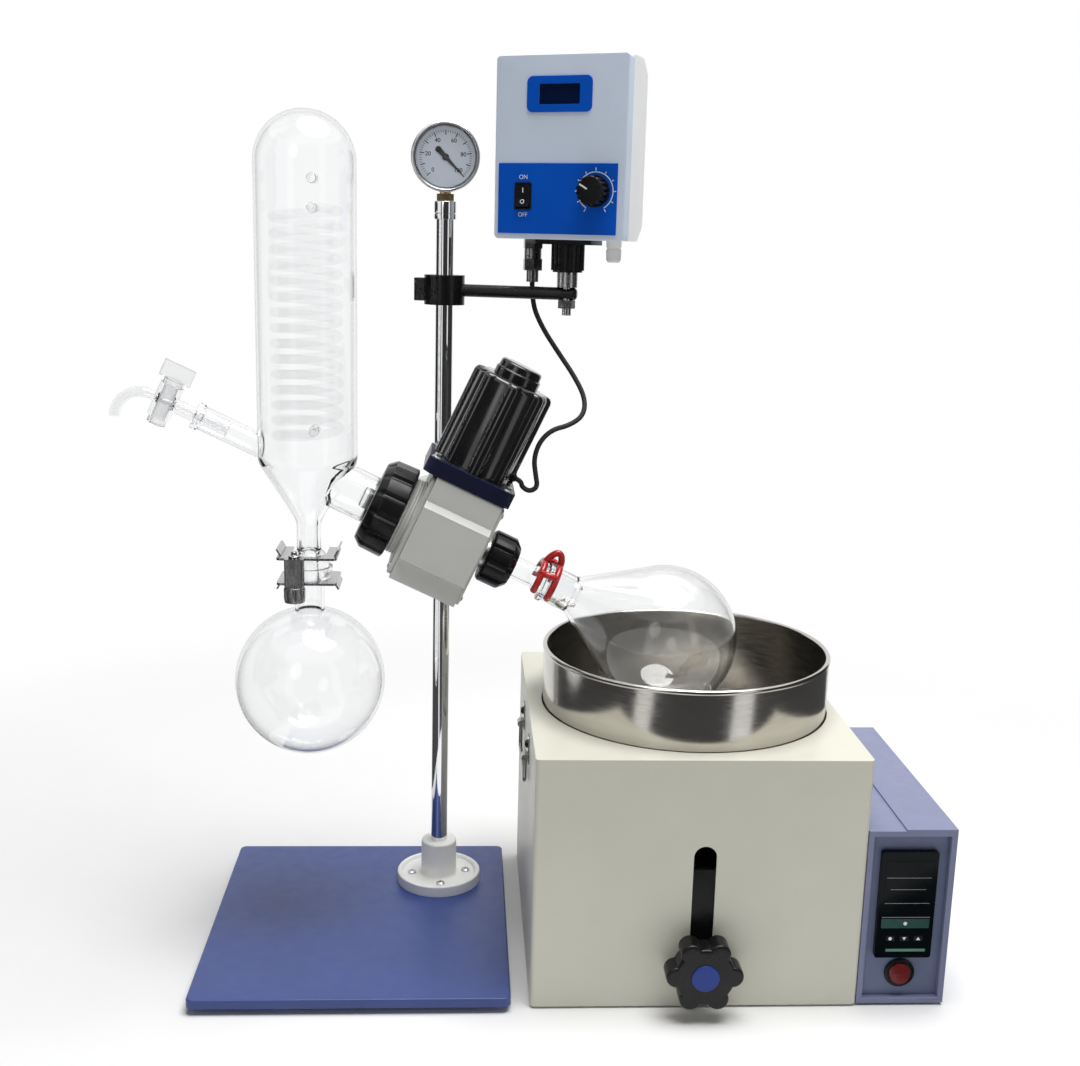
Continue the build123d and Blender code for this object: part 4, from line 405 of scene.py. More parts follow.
def lathe_mesh(name, outline, place, count=SMOOTH, ring=False, reach=None):
    """Turn an outline about the local z. reach(angle, along, radius) may change the radius."""
    points = []
    rows = []
    for along, radius in rounded(outline):
        if radius < 1e-6:
            rows.append([len(points)] * count)
            points.append((0, 0, along))
            continue
        rows.append(list(range(len(points), len(points) + count)))
        for step in range(count):
            angle = 2 * pi * step / count
            real = reach(angle, along, radius) if reach else radius
            points.append((real * cos(angle), real * sin(angle), along))
    faces = []
    pairs = list(zip(rows, rows[1:]))
    if ring:
        pairs.append((rows[-1], rows[0]))
    for one, two in pairs:
        for step in range(count):
            after = (step + 1) % count
            face = list(dict.fromkeys([one[step], one[after], two[after], two[step]]))
            if len(face) > 2:
                faces.append(face)
    return mesh_of(name, points, faces, place)


def lathe(name, outline, place, look, body, replaced=(), count=SMOOTH, ring=False, reach=None):
    add(name, lathe_mesh(name, outline, place, count, ring, reach), look, body, replaced)


def arc(centre, radius, start, end, steps=24):
    """Points of an arc in an outline, by angles from the axis."""
    turns = [radians(start + (end - start) * step / steps) for step in range(steps + 1)]
    return [(centre + radius * cos(turn), max(0, radius * sin(turn))) for turn in turns]


def slab_mesh(name, outline, low, high, place):
    """Raise a flat outline of (x, y) points from low to high."""
    count = len(outline)
    points = [(x, y, low) for x, y in outline] + [(x, y, high) for x, y in outline]
    faces = [list(range(count))[::-1], list(range(count, 2 * count))]
    for step in range(count):
        after = (step + 1) % count
        faces.append([step, after, after + count, step + count])
    return mesh_of(name, points, faces, place)


def slab(name, outline, low, high, place, look, body, edge=0.0):
    add(name, slab_mesh(name, outline, low, high, place), look, body, edge=edge)


CORNERS = ((1, 1), (-1, 1), (-1, -1), (1, -1))


def rectangle(width, height, corner=0.0, at=(0, 0)):
    """A rectangle's outline, with round corners where asked."""
    points = []
    for turn, (sx, sy) in enumerate(CORNERS):
        cx = at[0] + sx * (width / 2 - corner)
        cy = at[1] + sy * (height / 2 - corner)
        if not corner:
            points.append((cx, cy))
            continue
        for step in range(CORNER_STEPS + 1):
            angle = radians(90 * (turn + step / CORNER_STEPS))
            points.append((cx + corner * cos(angle), cy + corner * sin(angle)))
    return points


def circle(radius, count):
    angles = [2 * pi * step / count for step in range(count)]
    return [(radius * cos(angle), radius * sin(angle)) for angle in angles]


def curve_mesh(name, curve):
    """The mesh of a curve or text, which is then removed."""
    holder = bpy.data.objects.new(name, curve)
    mesh = bpy.data.meshes.new_from_object(holder)
    bpy.data.objects.remove(holder)
    bpy.data.curves.remove(curve)
    return mesh


def spline_curve(name, kind, points):
    """A curve through points in millimetres."""
    curve = bpy.data.curves.new(name, "CURVE")
    curve.dimensions = "3D"
    spline = curve.splines.new(kind)
    spline.points.add(len(points) - 1)
    for spot, point in zip(spline.points, points):
        spot.co = (*(Vector(point) * MM), 1)
    return curve


def tube_mesh(name, points, radius):
    """A round tube through points in millimetres."""
    curve = spline_curve(name, "POLY", points)
    curve.bevel_depth = radius * MM
    curve.bevel_resolution = TUBE_STEPS
    curve.use_fill_caps = True
    return curve_mesh(name, curve)


def joined(name, solids, cuts=()):
    """One mesh from solids put together, with others cut out of it."""
    holders = []
    for mesh in (*solids, *cuts):
        holder = bpy.data.objects.new(mesh.name, mesh)
        scene.collection.objects.link(holder)
        holders.append(holder)
    base = holders[0]
    for index, holder in enumerate(holders[1:], 1):
        step = base.modifiers.new(f"step_{index}", "BOOLEAN")
        step.operation = "UNION" if index < len(solids) else "DIFFERENCE"
        step.object = holder
        step.solver = "EXACT"
    bpy.context.view_layer.update()
    result = bpy.data.meshes.new_from_object(base.evaluated_get(bpy.context.evaluated_depsgraph_get()))
    result.name = name
    for holder in holders:
        mesh = holder.data
        bpy.data.objects.remove(holder)
        bpy.data.meshes.remove(mesh)
    result.materials.clear()
    return result


def lettering(name, text, size, place, look, body, at=(0, 0), bold=0.0):
    """Flat printed numbers or letters, centred at a spot of a local frame."""
    curve = bpy.data.curves.new(name, "FONT")
    curve.body = text
    curve.size = size
    curve.align_x = "CENTER"
    curve.align_y = "CENTER"
    curve.extrude = PRINT_T
    curve.offset = bold
    mesh = curve_mesh(name, curve)
    mesh.transform(Matrix.Scale(MM, 4) @ place @ shift(*at))
    add(name, mesh, look, body)


# Motor lead: from the gland below the control box to the motor on the head
CORD_R = 2.2
CORD_ROUTE = [
    (-0.08, 71.33, 592), (-0.08, 71.33, 574), (9, 66, 553), (24, 60, 531), (39, 51, 510), (48, 42, 492),
    (46, 33, 478), (33, 27, 470), (18, 21, 467), (7, 17, 457), (2, 14, 442), (4, 14, 428), (6, 14, 417),
    (-0.9, 14, 413), (-7.8, 14, 417), (-8.60, 14, 422.08), (-13.13, 14, 424.19),
]

cord_line = spline_curve("cord_line", "NURBS", CORD_ROUTE)
cord_line.resolution_u = 12
cord_spline = cord_line.splines[0]
cord_spline.order_u = 3
cord_spline.use_endpoint_u = True
cord_path = [vertex.co.copy() for vertex in curve_mesh("cord_line", cord_line).vertices]
lead_mesh = tube_mesh("motor_lead", [point / MM for point in cord_path], CORD_R)
motor_lead = add("motor_lead", lead_mesh, RUBBER)
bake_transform(motor_lead)
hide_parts("motor_cord")

# Column, its flange and collar
low, high = extent("column")
COLUMN_R = (high.x - low.x) / 2
lathe(
    "column_tube",
    [(low.z, 0), (low.z, COLUMN_R), (high.z, COLUMN_R), (high.z, 0)],
    POST, CHROME, "stand", ["column"],
)
low, high = extent("column_flange")
FLANGE_R = (high.x - low.x) / 2
FLANGE_FLOOR = low.z + 7
HUB_R = 17.0
lathe(
    "flange_moulding",
    [
        (low.z, COLUMN_R), (low.z, FLANGE_R), (FLANGE_FLOOR + 3, FLANGE_R, 1.2),
        (FLANGE_FLOOR + 3, FLANGE_R - 4, 1.0), (FLANGE_FLOOR, FLANGE_R - 5.5, 1.0),
        (FLANGE_FLOOR, HUB_R, 2.5), (high.z, HUB_R, 2.0), (high.z, COLUMN_R),
    ],
    POST, WHITE_PLASTIC, "stand", ["column_flange"], ring=True,
)
low, high = extent("column_collar")
COLLAR_R = (high.x - low.x) / 2
lathe(
    "collar_turned",
    [
        (low.z, COLUMN_R), (low.z, COLLAR_R, 0.6), (low.z + 4.5, COLLAR_R),
        (low.z + 5.0, COLLAR_R - 0.5), (low.z + 5.6, COLLAR_R), (high.z, COLLAR_R, 1.2), (high.z, 0),
    ],
    POST, CHROME, "stand", ["column_collar"],
)

# Vacuum gauge
GAUGE_AT = middle("gauge_dial")
dial_low, dial_high = extent("gauge_dial")
low, high = extent("gauge_case")
GAUGE_R = (high.x - low.x) / 2
GAUGE_DEPTH = high.y - low.y
BEZEL_R = GAUGE_R - 4
dial_back = low.y - dial_high.y
lathe(
    "gauge_shell",
    [
        (-GAUGE_DEPTH, 0), (-GAUGE_DEPTH, GAUGE_R - 2.5, 2), (-8, GAUGE_R - 1.2), (-7.5, GAUGE_R, 0.4),
        (0, GAUGE_R, 1.8), (0, GAUGE_R - 2.2, 0.6), (-3, BEZEL_R, 0.3), (dial_back, BEZEL_R),
        (dial_back, 0),
    ],
    facing(GAUGE_AT.x, low.y, GAUGE_AT.z), SATIN, "stand", ["gauge_case"],
)
DIAL = facing(GAUGE_AT.x, dial_low.y, GAUGE_AT.z)
lathe(
    "gauge_face",
    [(-0.9, 0), (-0.9, BEZEL_R - 0.2), (0, BEZEL_R - 0.2, 0.2), (0, 0)],
    DIAL, DIAL_WHITE, "stand", ["gauge_dial"],
)
low, high = extent("gauge_lens")
lathe(
    "gauge_glass",
    [(0, 0), (0, BEZEL_R - 0.1), (high.y - low.y, BEZEL_R - 0.1), (high.y - low.y, 0)],
    facing(GAUGE_AT.x, high.y, GAUGE_AT.z), LENS, "stand", ["gauge_lens"],
)
DIAL_START = radians(225)
DIAL_SWEEP = radians(270)
DIAL_STEPS = 50
DIAL_MAJOR = 10
TICK_R = 23.0
LONG_TICK = (4.2, 0.45)  # length and half width
SHORT_TICK = (2.2, 0.22)
TICK_LIFT = 0.06
NUMBER_R = 15.6
NUMBER_SIZE = 5.0
ticks = []
tick_faces = []
for step in range(DIAL_STEPS + 1):
    angle = DIAL_START - DIAL_SWEEP * step / DIAL_STEPS
    long_tick = step % (DIAL_STEPS // DIAL_MAJOR) == 0
    length, half = LONG_TICK if long_tick else SHORT_TICK
    radial = Vector((cos(angle), sin(angle), 0))
    side = Vector((-sin(angle), cos(angle), 0)) * half
    inner = radial * (TICK_R - length) + Vector((0, 0, TICK_LIFT))
    outer = radial * TICK_R + Vector((0, 0, TICK_LIFT))
    base = len(ticks)
    ticks += [inner - side, outer - side, outer + side, inner + side]
    tick_faces.append([base, base + 1, base + 2, base + 3])
add("gauge_ticks", mesh_of("gauge_ticks", ticks, tick_faces, DIAL), INK, "stand")
for step in range(0, DIAL_MAJOR + 1, 2):
    angle = DIAL_START - DIAL_SWEEP * step / DIAL_MAJOR
    spot = (NUMBER_R * cos(angle), NUMBER_R * sin(angle))
    lettering(f"gauge_number_{step}", str(step * 10), NUMBER_SIZE, DIAL, INK, "stand", spot, bold=0.1)

# Heating bath pot
POT_AT = middle("bath_pot")
low, high = extent("bath_pot")
POT = standing(POT_AT.x, POT_AT.y)
POT_BEAD = 2.25
POT_OUT_R = (high.x - low.x) / 2 - POT_BEAD
POT_WALL = 1.5
POT_IN_R = POT_OUT_R - POT_WALL
rim_z = high.z - POT_BEAD
bead = [
    (rim_z + POT_BEAD * sin(turn), POT_OUT_R - POT_BEAD / 4 + POT_BEAD * cos(turn))
    for turn in (radians(-50 + 28 * step) for step in range(10))
]
lathe(
    "pot_spun",
    [(low.z, 0), (low.z, POT_OUT_R, 8), *bead, (low.z + POT_WALL, POT_IN_R, 7), (low.z + POT_WALL, 0)],
    POT, STAINLESS, "pot", ["bath_pot"], count=160,
)

# Evaporating flask and the vapour tube
JOINT_S0 = 100.0
JOINT_S1 = 128.0
JOINT_R = 14.0
JOINT_END_R = 12.6
TUBE_R = 10.0
TUBE_BORE = 7.5
TUBE_S0 = -75.0
FLASK_S = 222.0
FLASK_R = 65.5
FLASK_WALL = 2.2
NECK_R = 16.5
LIP_R = 18.0


def touch(start, radius):
    """Angle at the flask's middle where a line from start touches its sphere."""
    reach = hypot(FLASK_S - start[0], start[1])
    lean = atan2(-start[1], FLASK_S - start[0]) + asin(radius / reach)
    run = sqrt(reach**2 - radius**2)
    along = start[0] + run * cos(lean)
    out = start[1] + run * sin(lean)
    return degrees(atan2(out, along - FLASK_S))


outer_touch = touch((JOINT_S1, NECK_R), FLASK_R)
inner_touch = touch((JOINT_S1 + FLASK_WALL, NECK_R - FLASK_WALL), FLASK_R - FLASK_WALL)
lathe(
    "evaporating_flask_glass",
    [
        (JOINT_S0, JOINT_R + 0.05), (JOINT_S0, LIP_R, 1.2), (JOINT_S0 + 3.5, LIP_R, 1.0),
        (JOINT_S0 + 5.5, NECK_R, 1.0), (JOINT_S1, NECK_R, 8), *arc(FLASK_S, FLASK_R, outer_touch, 0, 48),
        *arc(FLASK_S, FLASK_R - FLASK_WALL, 0, inner_touch, 48),
        (JOINT_S1 + FLASK_WALL, NECK_R - FLASK_WALL, 6), (JOINT_S1, JOINT_END_R + 0.05),
    ],
    HEAD, GLASS, "rotor", ["evaporating_flask"], ring=True,
)
lathe(
    "vapour_tube_glass",
    [
        (TUBE_S0, TUBE_BORE), (TUBE_S0, TUBE_R, 0.8), (JOINT_S0 - 9, TUBE_R, 4),
        (JOINT_S0 - 3, JOINT_R, 2), (JOINT_S0, JOINT_R), (JOINT_S1, JOINT_END_R, 2),
        (JOINT_S1 + 7, TUBE_R), (JOINT_S1 + 7, TUBE_BORE), (JOINT_S1, JOINT_END_R - 2.5, 2),
        (JOINT_S0, JOINT_R - 2.5), (JOINT_S0 - 3, JOINT_R - 2.5, 2), (JOINT_S0 - 9, TUBE_BORE, 4),
    ],
    HEAD, GLASS, "rotor", ["vapour_tube"], ring=True,
)

# Condenser
CONDENSER_R = 42.5
CONDENSER_WALL = 2.5
CONDENSER_TOP = 729.0
SHOULDER_Z = 437.0
NECK_TOP_Z = 384.0
CONDENSER_NECK_R = 10.5
BALL_Z = 345.0
BALL_R = 17.5
BALL_BORE_R = 7.0
DOME_Z = CONDENSER_TOP - CONDENSER_R
CENTRE_S = (CONDENSER_AT.x - HEAD_AT.x) / ALONG.x
ARM_S = -52.3
ARM_R = 21.0
ARM_LIP_R = 28.0
FEED_RISE = 2.0
FEED = local(HEAD_AT + ACROSS * FEED_RISE, ACROSS, ALONG)
SOCKET_S = -233.0
SOCKET_R = 10.5
PLUG_R = 8.05
COIL_Z = 456.0
COIL_PITCH = 13.0
COIL_TURNS = 15
COIL_R = 27.0
COIL_WIRE_R = 4.0
COIL_STEPS = 36  # points in a turn
COIL_CLEAR = 0.3
COIL_TOP = COIL_Z + COIL_PITCH * COIL_TURNS
VACUUM_Z = 676.0
NOZZLE_R = 5.0
NOZZLE_BORE = 3.0
NOZZLE_L = 26.0
NOZZLE_ROOT = 6.0
BARBS = 3
BARB_L = 6.0
IN_R = CONDENSER_R - CONDENSER_WALL
ball_low = degrees(asin(9.0 / BALL_R))
ball_high = degrees(asin(CONDENSER_NECK_R / BALL_R))


def stick(name, start, end, radius, place, count=48):
    return lathe_mesh(name, [(start, 0), (start, radius), (end, radius), (end, 0)], place, count)


glass_solids = [
    lathe_mesh(
        "jacket",
        [
            (BALL_Z - BALL_R * cos(radians(ball_low)), 0),
            *arc(BALL_Z, BALL_R, 180 - ball_low, ball_high, 20), (NECK_TOP_Z, CONDENSER_NECK_R, 14),
            (SHOULDER_Z, CONDENSER_R, 14), *arc(DOME_Z, CONDENSER_R, 90, 0),
        ],
        CONDENSER,
    ),
    lathe_mesh(
        "arm",
        [
            (CENTRE_S, 0), (CENTRE_S, ARM_R), (ARM_S - 5, ARM_R, 2.5), (ARM_S - 5, ARM_LIP_R, 1.5),
            (ARM_S, ARM_LIP_R, 1.0), (ARM_S, 0),
        ],
        HEAD, 64,
    ),
    lathe_mesh(
        "socket",
        [
            (SOCKET_S, 0), (SOCKET_S, 12.0, 1.5), (SOCKET_S + 5, 12.0, 1.0),
            (SOCKET_S + 6.5, SOCKET_R, 1.0), (CENTRE_S, SOCKET_R), (CENTRE_S, 0),
        ],
        FEED, 48,
    ),
]
glass_cuts = [
    lathe_mesh(
        "jacket_inside",
        [
            (BALL_Z - BALL_R, 0), (BALL_Z - BALL_R, BALL_BORE_R),
            (NECK_TOP_Z + CONDENSER_WALL, BALL_BORE_R, 14), (SHOULDER_Z + CONDENSER_WALL, IN_R, 12),
            *arc(DOME_Z, IN_R, 90, 0),
        ],
        CONDENSER,
    ),
    stick("arm_inside", CENTRE_S, ARM_S + 1, ARM_R - CONDENSER_WALL, HEAD, 64),
    stick("socket_inside", SOCKET_S - 1, CENTRE_S, PLUG_R, FEED),
]
for nozzle_z in (COIL_Z, COIL_TOP, VACUUM_Z):
    nozzle = local((CONDENSER_AT.x, HEAD_AT.y, nozzle_z), (1, 0, 0), (0, 1, 0))
    end = CONDENSER_R + NOZZLE_L
    root = CONDENSER_R - NOZZLE_ROOT
    barb = [(root, 0), (root, NOZZLE_R - 0.6)]
    for ring in range(BARBS):
        start = end + BARB_L * (ring - BARBS)
        barb += [(start, NOZZLE_R - 0.6), (start + 0.8, NOZZLE_R), (start + 4.5, NOZZLE_R - 0.8)]
    barb += [(end, NOZZLE_R - 1.2), (end, 0)]
    glass_solids.append(lathe_mesh(f"nozzle_{nozzle_z:.0f}", barb, nozzle, 32))
    glass_cuts.append(stick(f"bore_{nozzle_z:.0f}", IN_R - NOZZLE_ROOT, end + 1, NOZZLE_BORE, nozzle, 24))
jacket = joined("condenser_jacket", glass_solids, glass_cuts)
add("condenser_jacket", jacket, GLASS, "head", ["condenser_glass"])

coil_end = IN_R - COIL_CLEAR
coil_points = [(0, coil_end, COIL_Z)]
for step in range(COIL_TURNS * COIL_STEPS + 1):
    angle = pi / 2 + 2 * pi * step / COIL_STEPS
    rise = COIL_Z + COIL_PITCH * step / COIL_STEPS
    coil_points.append((COIL_R * cos(angle), COIL_R * sin(angle), rise))
coil_points.append((0, coil_end, COIL_TOP))
coil = tube_mesh("cooling_coil", [CONDENSER @ Vector(point) for point in coil_points], COIL_WIRE_R)
add("cooling_coil", coil, COIL_GLASS, "head", ["condenser_coil"])

# Receiving flask
RECEIVER_Z = 240.0
RECEIVER_R = 66.0
RECEIVER_WALL = 2.4
RECEIVER_NECK_R = 13.0
CUP_R = BALL_R + 0.1
CUP_OUT_R = CUP_R + 2.9
bulb_in_r = RECEIVER_R - RECEIVER_WALL
neck_bore = RECEIVER_NECK_R - RECEIVER_WALL
meet = degrees(asin(RECEIVER_NECK_R / RECEIVER_R))
bore_meet = degrees(asin(neck_bore / bulb_in_r))
cup_out = 180 - degrees(asin(RECEIVER_NECK_R / CUP_OUT_R))
cup_in = 180 - degrees(asin(neck_bore / CUP_R))
lathe(
    "receiving_flask_glass",
    [
        *arc(RECEIVER_Z, RECEIVER_R, 180, meet, 60), *arc(BALL_Z, CUP_OUT_R, cup_out, 93, 16),
        *arc(BALL_Z, CUP_R, 93, cup_in, 16), *arc(RECEIVER_Z, bulb_in_r, bore_meet, 180, 60),
    ],
    CONDENSER, GLASS, "head", ["receiving_flask"],
)

# Rings and nuts of the head
RING_S = -39.0
RING_R = 35.0
THREAD_S = -27.2
THREAD_PITCH = 2.3
THREAD_DEPTH = 0.9
thread = []
for turn in range(5):
    start = THREAD_S - THREAD_PITCH * turn
    thread += [(start, RING_R), (start - 1.0, RING_R - THREAD_DEPTH), (start - 1.4, RING_R - THREAD_DEPTH)]
lathe(
    "union_ring",
    [
        (-26, 16), (-26, RING_R), *thread, (RING_S, RING_R), (RING_S, 30), (-52, 30), (-52, 22),
        (-44, 22), (-44, 16),
    ],
    HEAD, CAST, "head", ["condenser_ring"], ring=True,
)


def grooves(count, depth, share, low, high):
    """Radius of a piece with round grooves cut along it, between two places on its axis."""

    def reach(angle, along, radius):
        if not low <= along <= high:
            return radius
        turn = (angle * count / (2 * pi)) % 1 - 0.5
        if abs(turn) > share / 2:
            return radius
        return radius - depth * cos(pi * turn / share) ** 0.5

    return reach


def outside(reach, least):
    """Change the radius by reach above a least one, and leave bores and end faces as they are."""
    return lambda angle, along, radius: reach(angle, along, radius) if radius > least else radius


lathe(
    "union_nut",
    [
        (-39, 30.05), (-39, 39.5, 1.5), (-40, 42, 1.5), (-60, 41.2, 3), (-67, 35, 2), (-67, 21.3),
        (-60.5, 21.3), (-60.5, 30.05),
    ],
    HEAD, BLACK_PLASTIC, "head", ["condenser_nut"],
    count=224, ring=True, reach=outside(grooves(14, 2.2, 0.28, -66, -39.2), 34),
)
lathe(
    "flask_nut_moulding",
    [
        (43.5, 15.05), (43.5, 22, 1.0), (45.5, 24, 1.0), (64, 24, 2), (70, 18, 1.0), (70, 10.05),
        (60.05, 10.05), (60.05, 15.05),
    ],
    HEAD, BLACK_PLASTIC, "rotor", ["flask_nut"],
    count=200, ring=True, reach=outside(grooves(10, 2.6, 0.34, 45.6, 66), 19),
)

# Motor
MOTOR_FLANGE_TOP = 64.0
MOTOR_END = 148.0
MOTOR_CORE = 33.0
RIB_AT = 29.5
RIB_R = 7.0
RIBS = 8


def motor_reach(angle, along, radius):
    """Radius of the motor with round ribs along it."""
    turn = (angle + pi / RIBS) % (2 * pi / RIBS) - pi / RIBS
    inside = RIB_R**2 - (RIB_AT * sin(turn)) ** 2
    if inside <= 0:
        return radius
    rib = RIB_AT * cos(turn) + sqrt(inside)
    return max(radius, rib - (MOTOR_CORE - radius))


lathe(
    "motor_ribbed",
    [
        (MOTOR_FLANGE_TOP, 0), (MOTOR_FLANGE_TOP, MOTOR_CORE), (MOTOR_END - 5, MOTOR_CORE),
        (MOTOR_END - 2.5, MOTOR_CORE - 0.8), (MOTOR_END - 0.7, MOTOR_CORE - 2.4),
        (MOTOR_END, MOTOR_CORE - 4.5), (MOTOR_END, 0),
    ],
    MOTOR, MOTOR_BLACK, "head", ["motor_body"], count=256, reach=outside(motor_reach, 20),
)
lathe(
    "motor_cap",
    [(0, 0), (0, 20.5), (7, 20.5, 1.0), (8, 19.3, 0.6), (15, 18.6, 3), (15, 0)],
    MOTOR @ shift(0, 0, MOTOR_END), MOTOR_BLACK, "head", ["motor_end_cap"],
)


# Screws and bolts
def merged(name, meshes):
    """One mesh from several that are put side by side."""
    whole = bmesh.new()
    for mesh in meshes:
        whole.from_mesh(mesh)
        bpy.data.meshes.remove(mesh)
    result = bpy.data.meshes.new(name)
    whole.to_mesh(result)
    whole.free()
    return result


def cross_screw(name, place, radius, height):
    """A round screw head with a cross cut into it."""
    outline = [(0, 0), (0, radius), (height * 0.5, radius, 0.3), (height, radius * 0.55, 0.3), (height, 0)]
    head = lathe_mesh(name, outline, place, 32)
    arms = []
    for width, depth in ((1.3, 0.3), (0.3, 1.3)):
        outline = rectangle(radius * width, radius * depth)
        arms.append(slab_mesh(f"{name}_arm", outline, height * 0.45, height + 1, place))
    return joined(name, [head], arms)


def washer_bolt(name, place, radius, height):
    """A hexagon head on a washer."""
    wide = radius * 1.35
    washer = lathe_mesh(f"{name}_washer", [(0, 0), (0, wide), (1.0, wide, 0.3), (1.0, 0)], place, 32)
    top = [(1.0, 0), (1.0, radius), (height - 0.8, radius), (height, radius * 0.86), (height, 0)]
    return merged(name, [washer, lathe_mesh(f"{name}_head", top, place, 6)])


FLANGE_SCREW_AT = 26.0
FLANGE_SCREW_TURN = 5.0
for number in range(4):
    angle = radians(FLANGE_SCREW_TURN + 90 * number)
    across = FLANGE_SCREW_AT * cos(angle)
    spot = POST @ shift(across, FLANGE_SCREW_AT * sin(angle), FLANGE_FLOOR)
    name = f"flange_screw_{number}"
    add(name, cross_screw(name, spot, 4.2, 2.4), STEEL, "stand")
MOTOR_BOLT_AT = 33.0
for number, (side, depth) in enumerate(CORNERS):
    spot = MOTOR @ shift(side * MOTOR_BOLT_AT, depth * MOTOR_BOLT_AT, MOTOR_FLANGE_TOP)
    name = f"motor_bolt_{number}"
    add(name, washer_bolt(name, spot, 3.6, 4.0), STEEL, "head")

# Boss where the lead enters the motor
LEAD_END = Vector(CORD_ROUTE[-1]) - Vector(HEAD_AT)
LEAD_BOSS = local(HEAD_AT + ACROSS * LEAD_END.dot(ACROSS), ACROSS, ALONG)
LEAD_BOSS_R = 6.5
lead_s = LEAD_END.dot(ALONG)
boss_root = MOTOR_CORE - 4
lathe(
    "lead_boss",
    [
        (boss_root, 0), (boss_root, LEAD_BOSS_R), (lead_s - 1.5, LEAD_BOSS_R, 1.2), (lead_s - 1.5, 3.4),
        (lead_s, 3.2, 0.4), (lead_s, 0),
    ],
    LEAD_BOSS, BLACK_PLASTIC, "head",
)

# Housing: end plates with corner screws
HOUSING_T0 = -47.0
HOUSING_T1 = 50.0
END_PLATE_AT = ((HOUSING_T0 + HOUSING_T1) / 2, -0.5)
END_PLATE_SIZE = (HOUSING_T1 - HOUSING_T0 - 5, 74.0)
END_SCREW_AT = (40.0, 31.0)
END_PLATES = {"ring_end_plate": (-30.0, -26.0, 35.3), "shaft_end_plate": (35.0, 38.0, 21.0)}  # ends, hole
for plate, (start, end, hole_r) in END_PLATES.items():
    hole = stick(f"{plate}_hole", start - 1, end + 1, hole_r, HEAD, 96)
    blank = slab_mesh(plate, rectangle(*END_PLATE_SIZE, 4.0, END_PLATE_AT), start, end, HEAD)
    add(plate, joined(plate, [blank], [hole]), CAST, "head", edge=0.8)
    out_s, sign = (start, -1) if start < 0 else (end, 1)
    for number, (side, depth) in enumerate(CORNERS):
        across = END_PLATE_AT[0] + side * END_SCREW_AT[0]
        screw_at = HEAD @ Vector((across, END_PLATE_AT[1] + depth * END_SCREW_AT[1], out_s))
        name = f"{plate}_screw_{number}"
        screw = cross_screw(name, local(screw_at, ACROSS, ALONG * sign), 2.8, 1.6)
        add(name, screw, STEEL, "head")

# Joint clip: two open rings, a loop above and a bar on each side
CLIP_R = 3.0
CLIP_TURN = 12.0
CLIP_ARC = 110.0
CLIP_STEPS = 48
BRIDGE_STEPS = 16
CLIP_RINGS = ((94.0, JOINT_R + CLIP_R), (107.5, NECK_R + CLIP_R))
CLIP_BRIDGES = ((0, 12.0), (-50, 3.6), (50, 3.6))  # angle from the clip's middle, rise
FRONT_SIGN = 1 if (HEAD.to_3x3() @ Vector((0, 1, 0))).y < 0 else -1


def head_point(along, radius, turn):
    """A place round the head's axis, by its angle from the top towards the front."""
    angle = radians(turn)
    return HEAD @ Vector((radius * cos(angle), radius * sin(angle) * FRONT_SIGN, along))


clip_parts = []
for along, radius in CLIP_RINGS:
    turns = [CLIP_TURN - CLIP_ARC + 2 * CLIP_ARC * step / CLIP_STEPS for step in range(CLIP_STEPS + 1)]
    clip_parts.append(tube_mesh("clip_ring", [head_point(along, radius, turn) for turn in turns], CLIP_R))
(s0, r0), (s1, r1) = CLIP_RINGS
for turned, rise in CLIP_BRIDGES:
    bridge = []
    for step in range(BRIDGE_STEPS + 1):
        share = step / BRIDGE_STEPS
        lift = rise * sin(pi * share) ** 0.6
        bridge.append(head_point(s0 + (s1 - s0) * share, r0 + (r1 - r0) * share + lift, CLIP_TURN + turned))
    clip_parts.append(tube_mesh("clip_bridge", bridge, CLIP_R))
add("clip_moulding", merged("clip_moulding", clip_parts), RED, "rotor", ["joint_clip"])

# Ball joint clamp: knurled nut, screw end and turned-up fork ends
SPINE_AT = (-203.0, -10.5)
FORK_LOW_Z = 331.7
FORK_TOP_Z = 355.8
TIP_AT = 24.2
TIP_FRONT = -14.0
TIP_BACK = 22.0
TIP_LEAN = 3.2
TIP_RISE = 5.5
TIP_T = 1.6
lathe(
    "clamp_nut_knurled",
    [(-13.6, 0), (-13.6, 8.7, 0.8), (-9.5, 9.2), (-2.5, 9.2), (-0.6, 8.6, 0.4), (-0.6, 0)],
    standing(*SPINE_AT, FORK_LOW_Z), CLAMP_STEEL, "head",
    count=168, reach=outside(grooves(28, 0.7, 0.6, -20, 0), 9),
)
lathe(
    "clamp_screw_end",
    [(0, 0), (0, 5.0), (2.6, 5.0, 0.6), (3.4, 2.6, 0.4), (6.5, 2.4, 0.8), (6.5, 0)],
    standing(*SPINE_AT, FORK_TOP_Z), CLAMP_STEEL, "head", count=48,
)
for level, fork_z, rise in (("upper", FORK_TOP_Z - 0.1, TIP_RISE), ("lower", FORK_LOW_Z + 0.1, -TIP_RISE)):
    for side in (-1, 1):
        tip_x = CONDENSER_AT.x + side * TIP_AT
        points = []
        for depth in (TIP_FRONT, TIP_BACK):
            points.append((tip_x, HEAD_AT.y + depth, fork_z))
            points.append((tip_x + side * TIP_LEAN, HEAD_AT.y + depth, fork_z + rise))
        points += [(x - side * TIP_T, y, z + copysign(TIP_T / 4, rise)) for x, y, z in points]
        faces = [[0, 1, 3, 2], [4, 6, 7, 5], [0, 4, 5, 1], [2, 3, 7, 6], [1, 5, 7, 3], [0, 2, 6, 4]]
        name = f"fork_tip_{level}_{side + 1}"
        add(name, mesh_of(name, points, faces, Matrix.Identity(4)), CLAMP_STEEL, "head", edge=0.3)

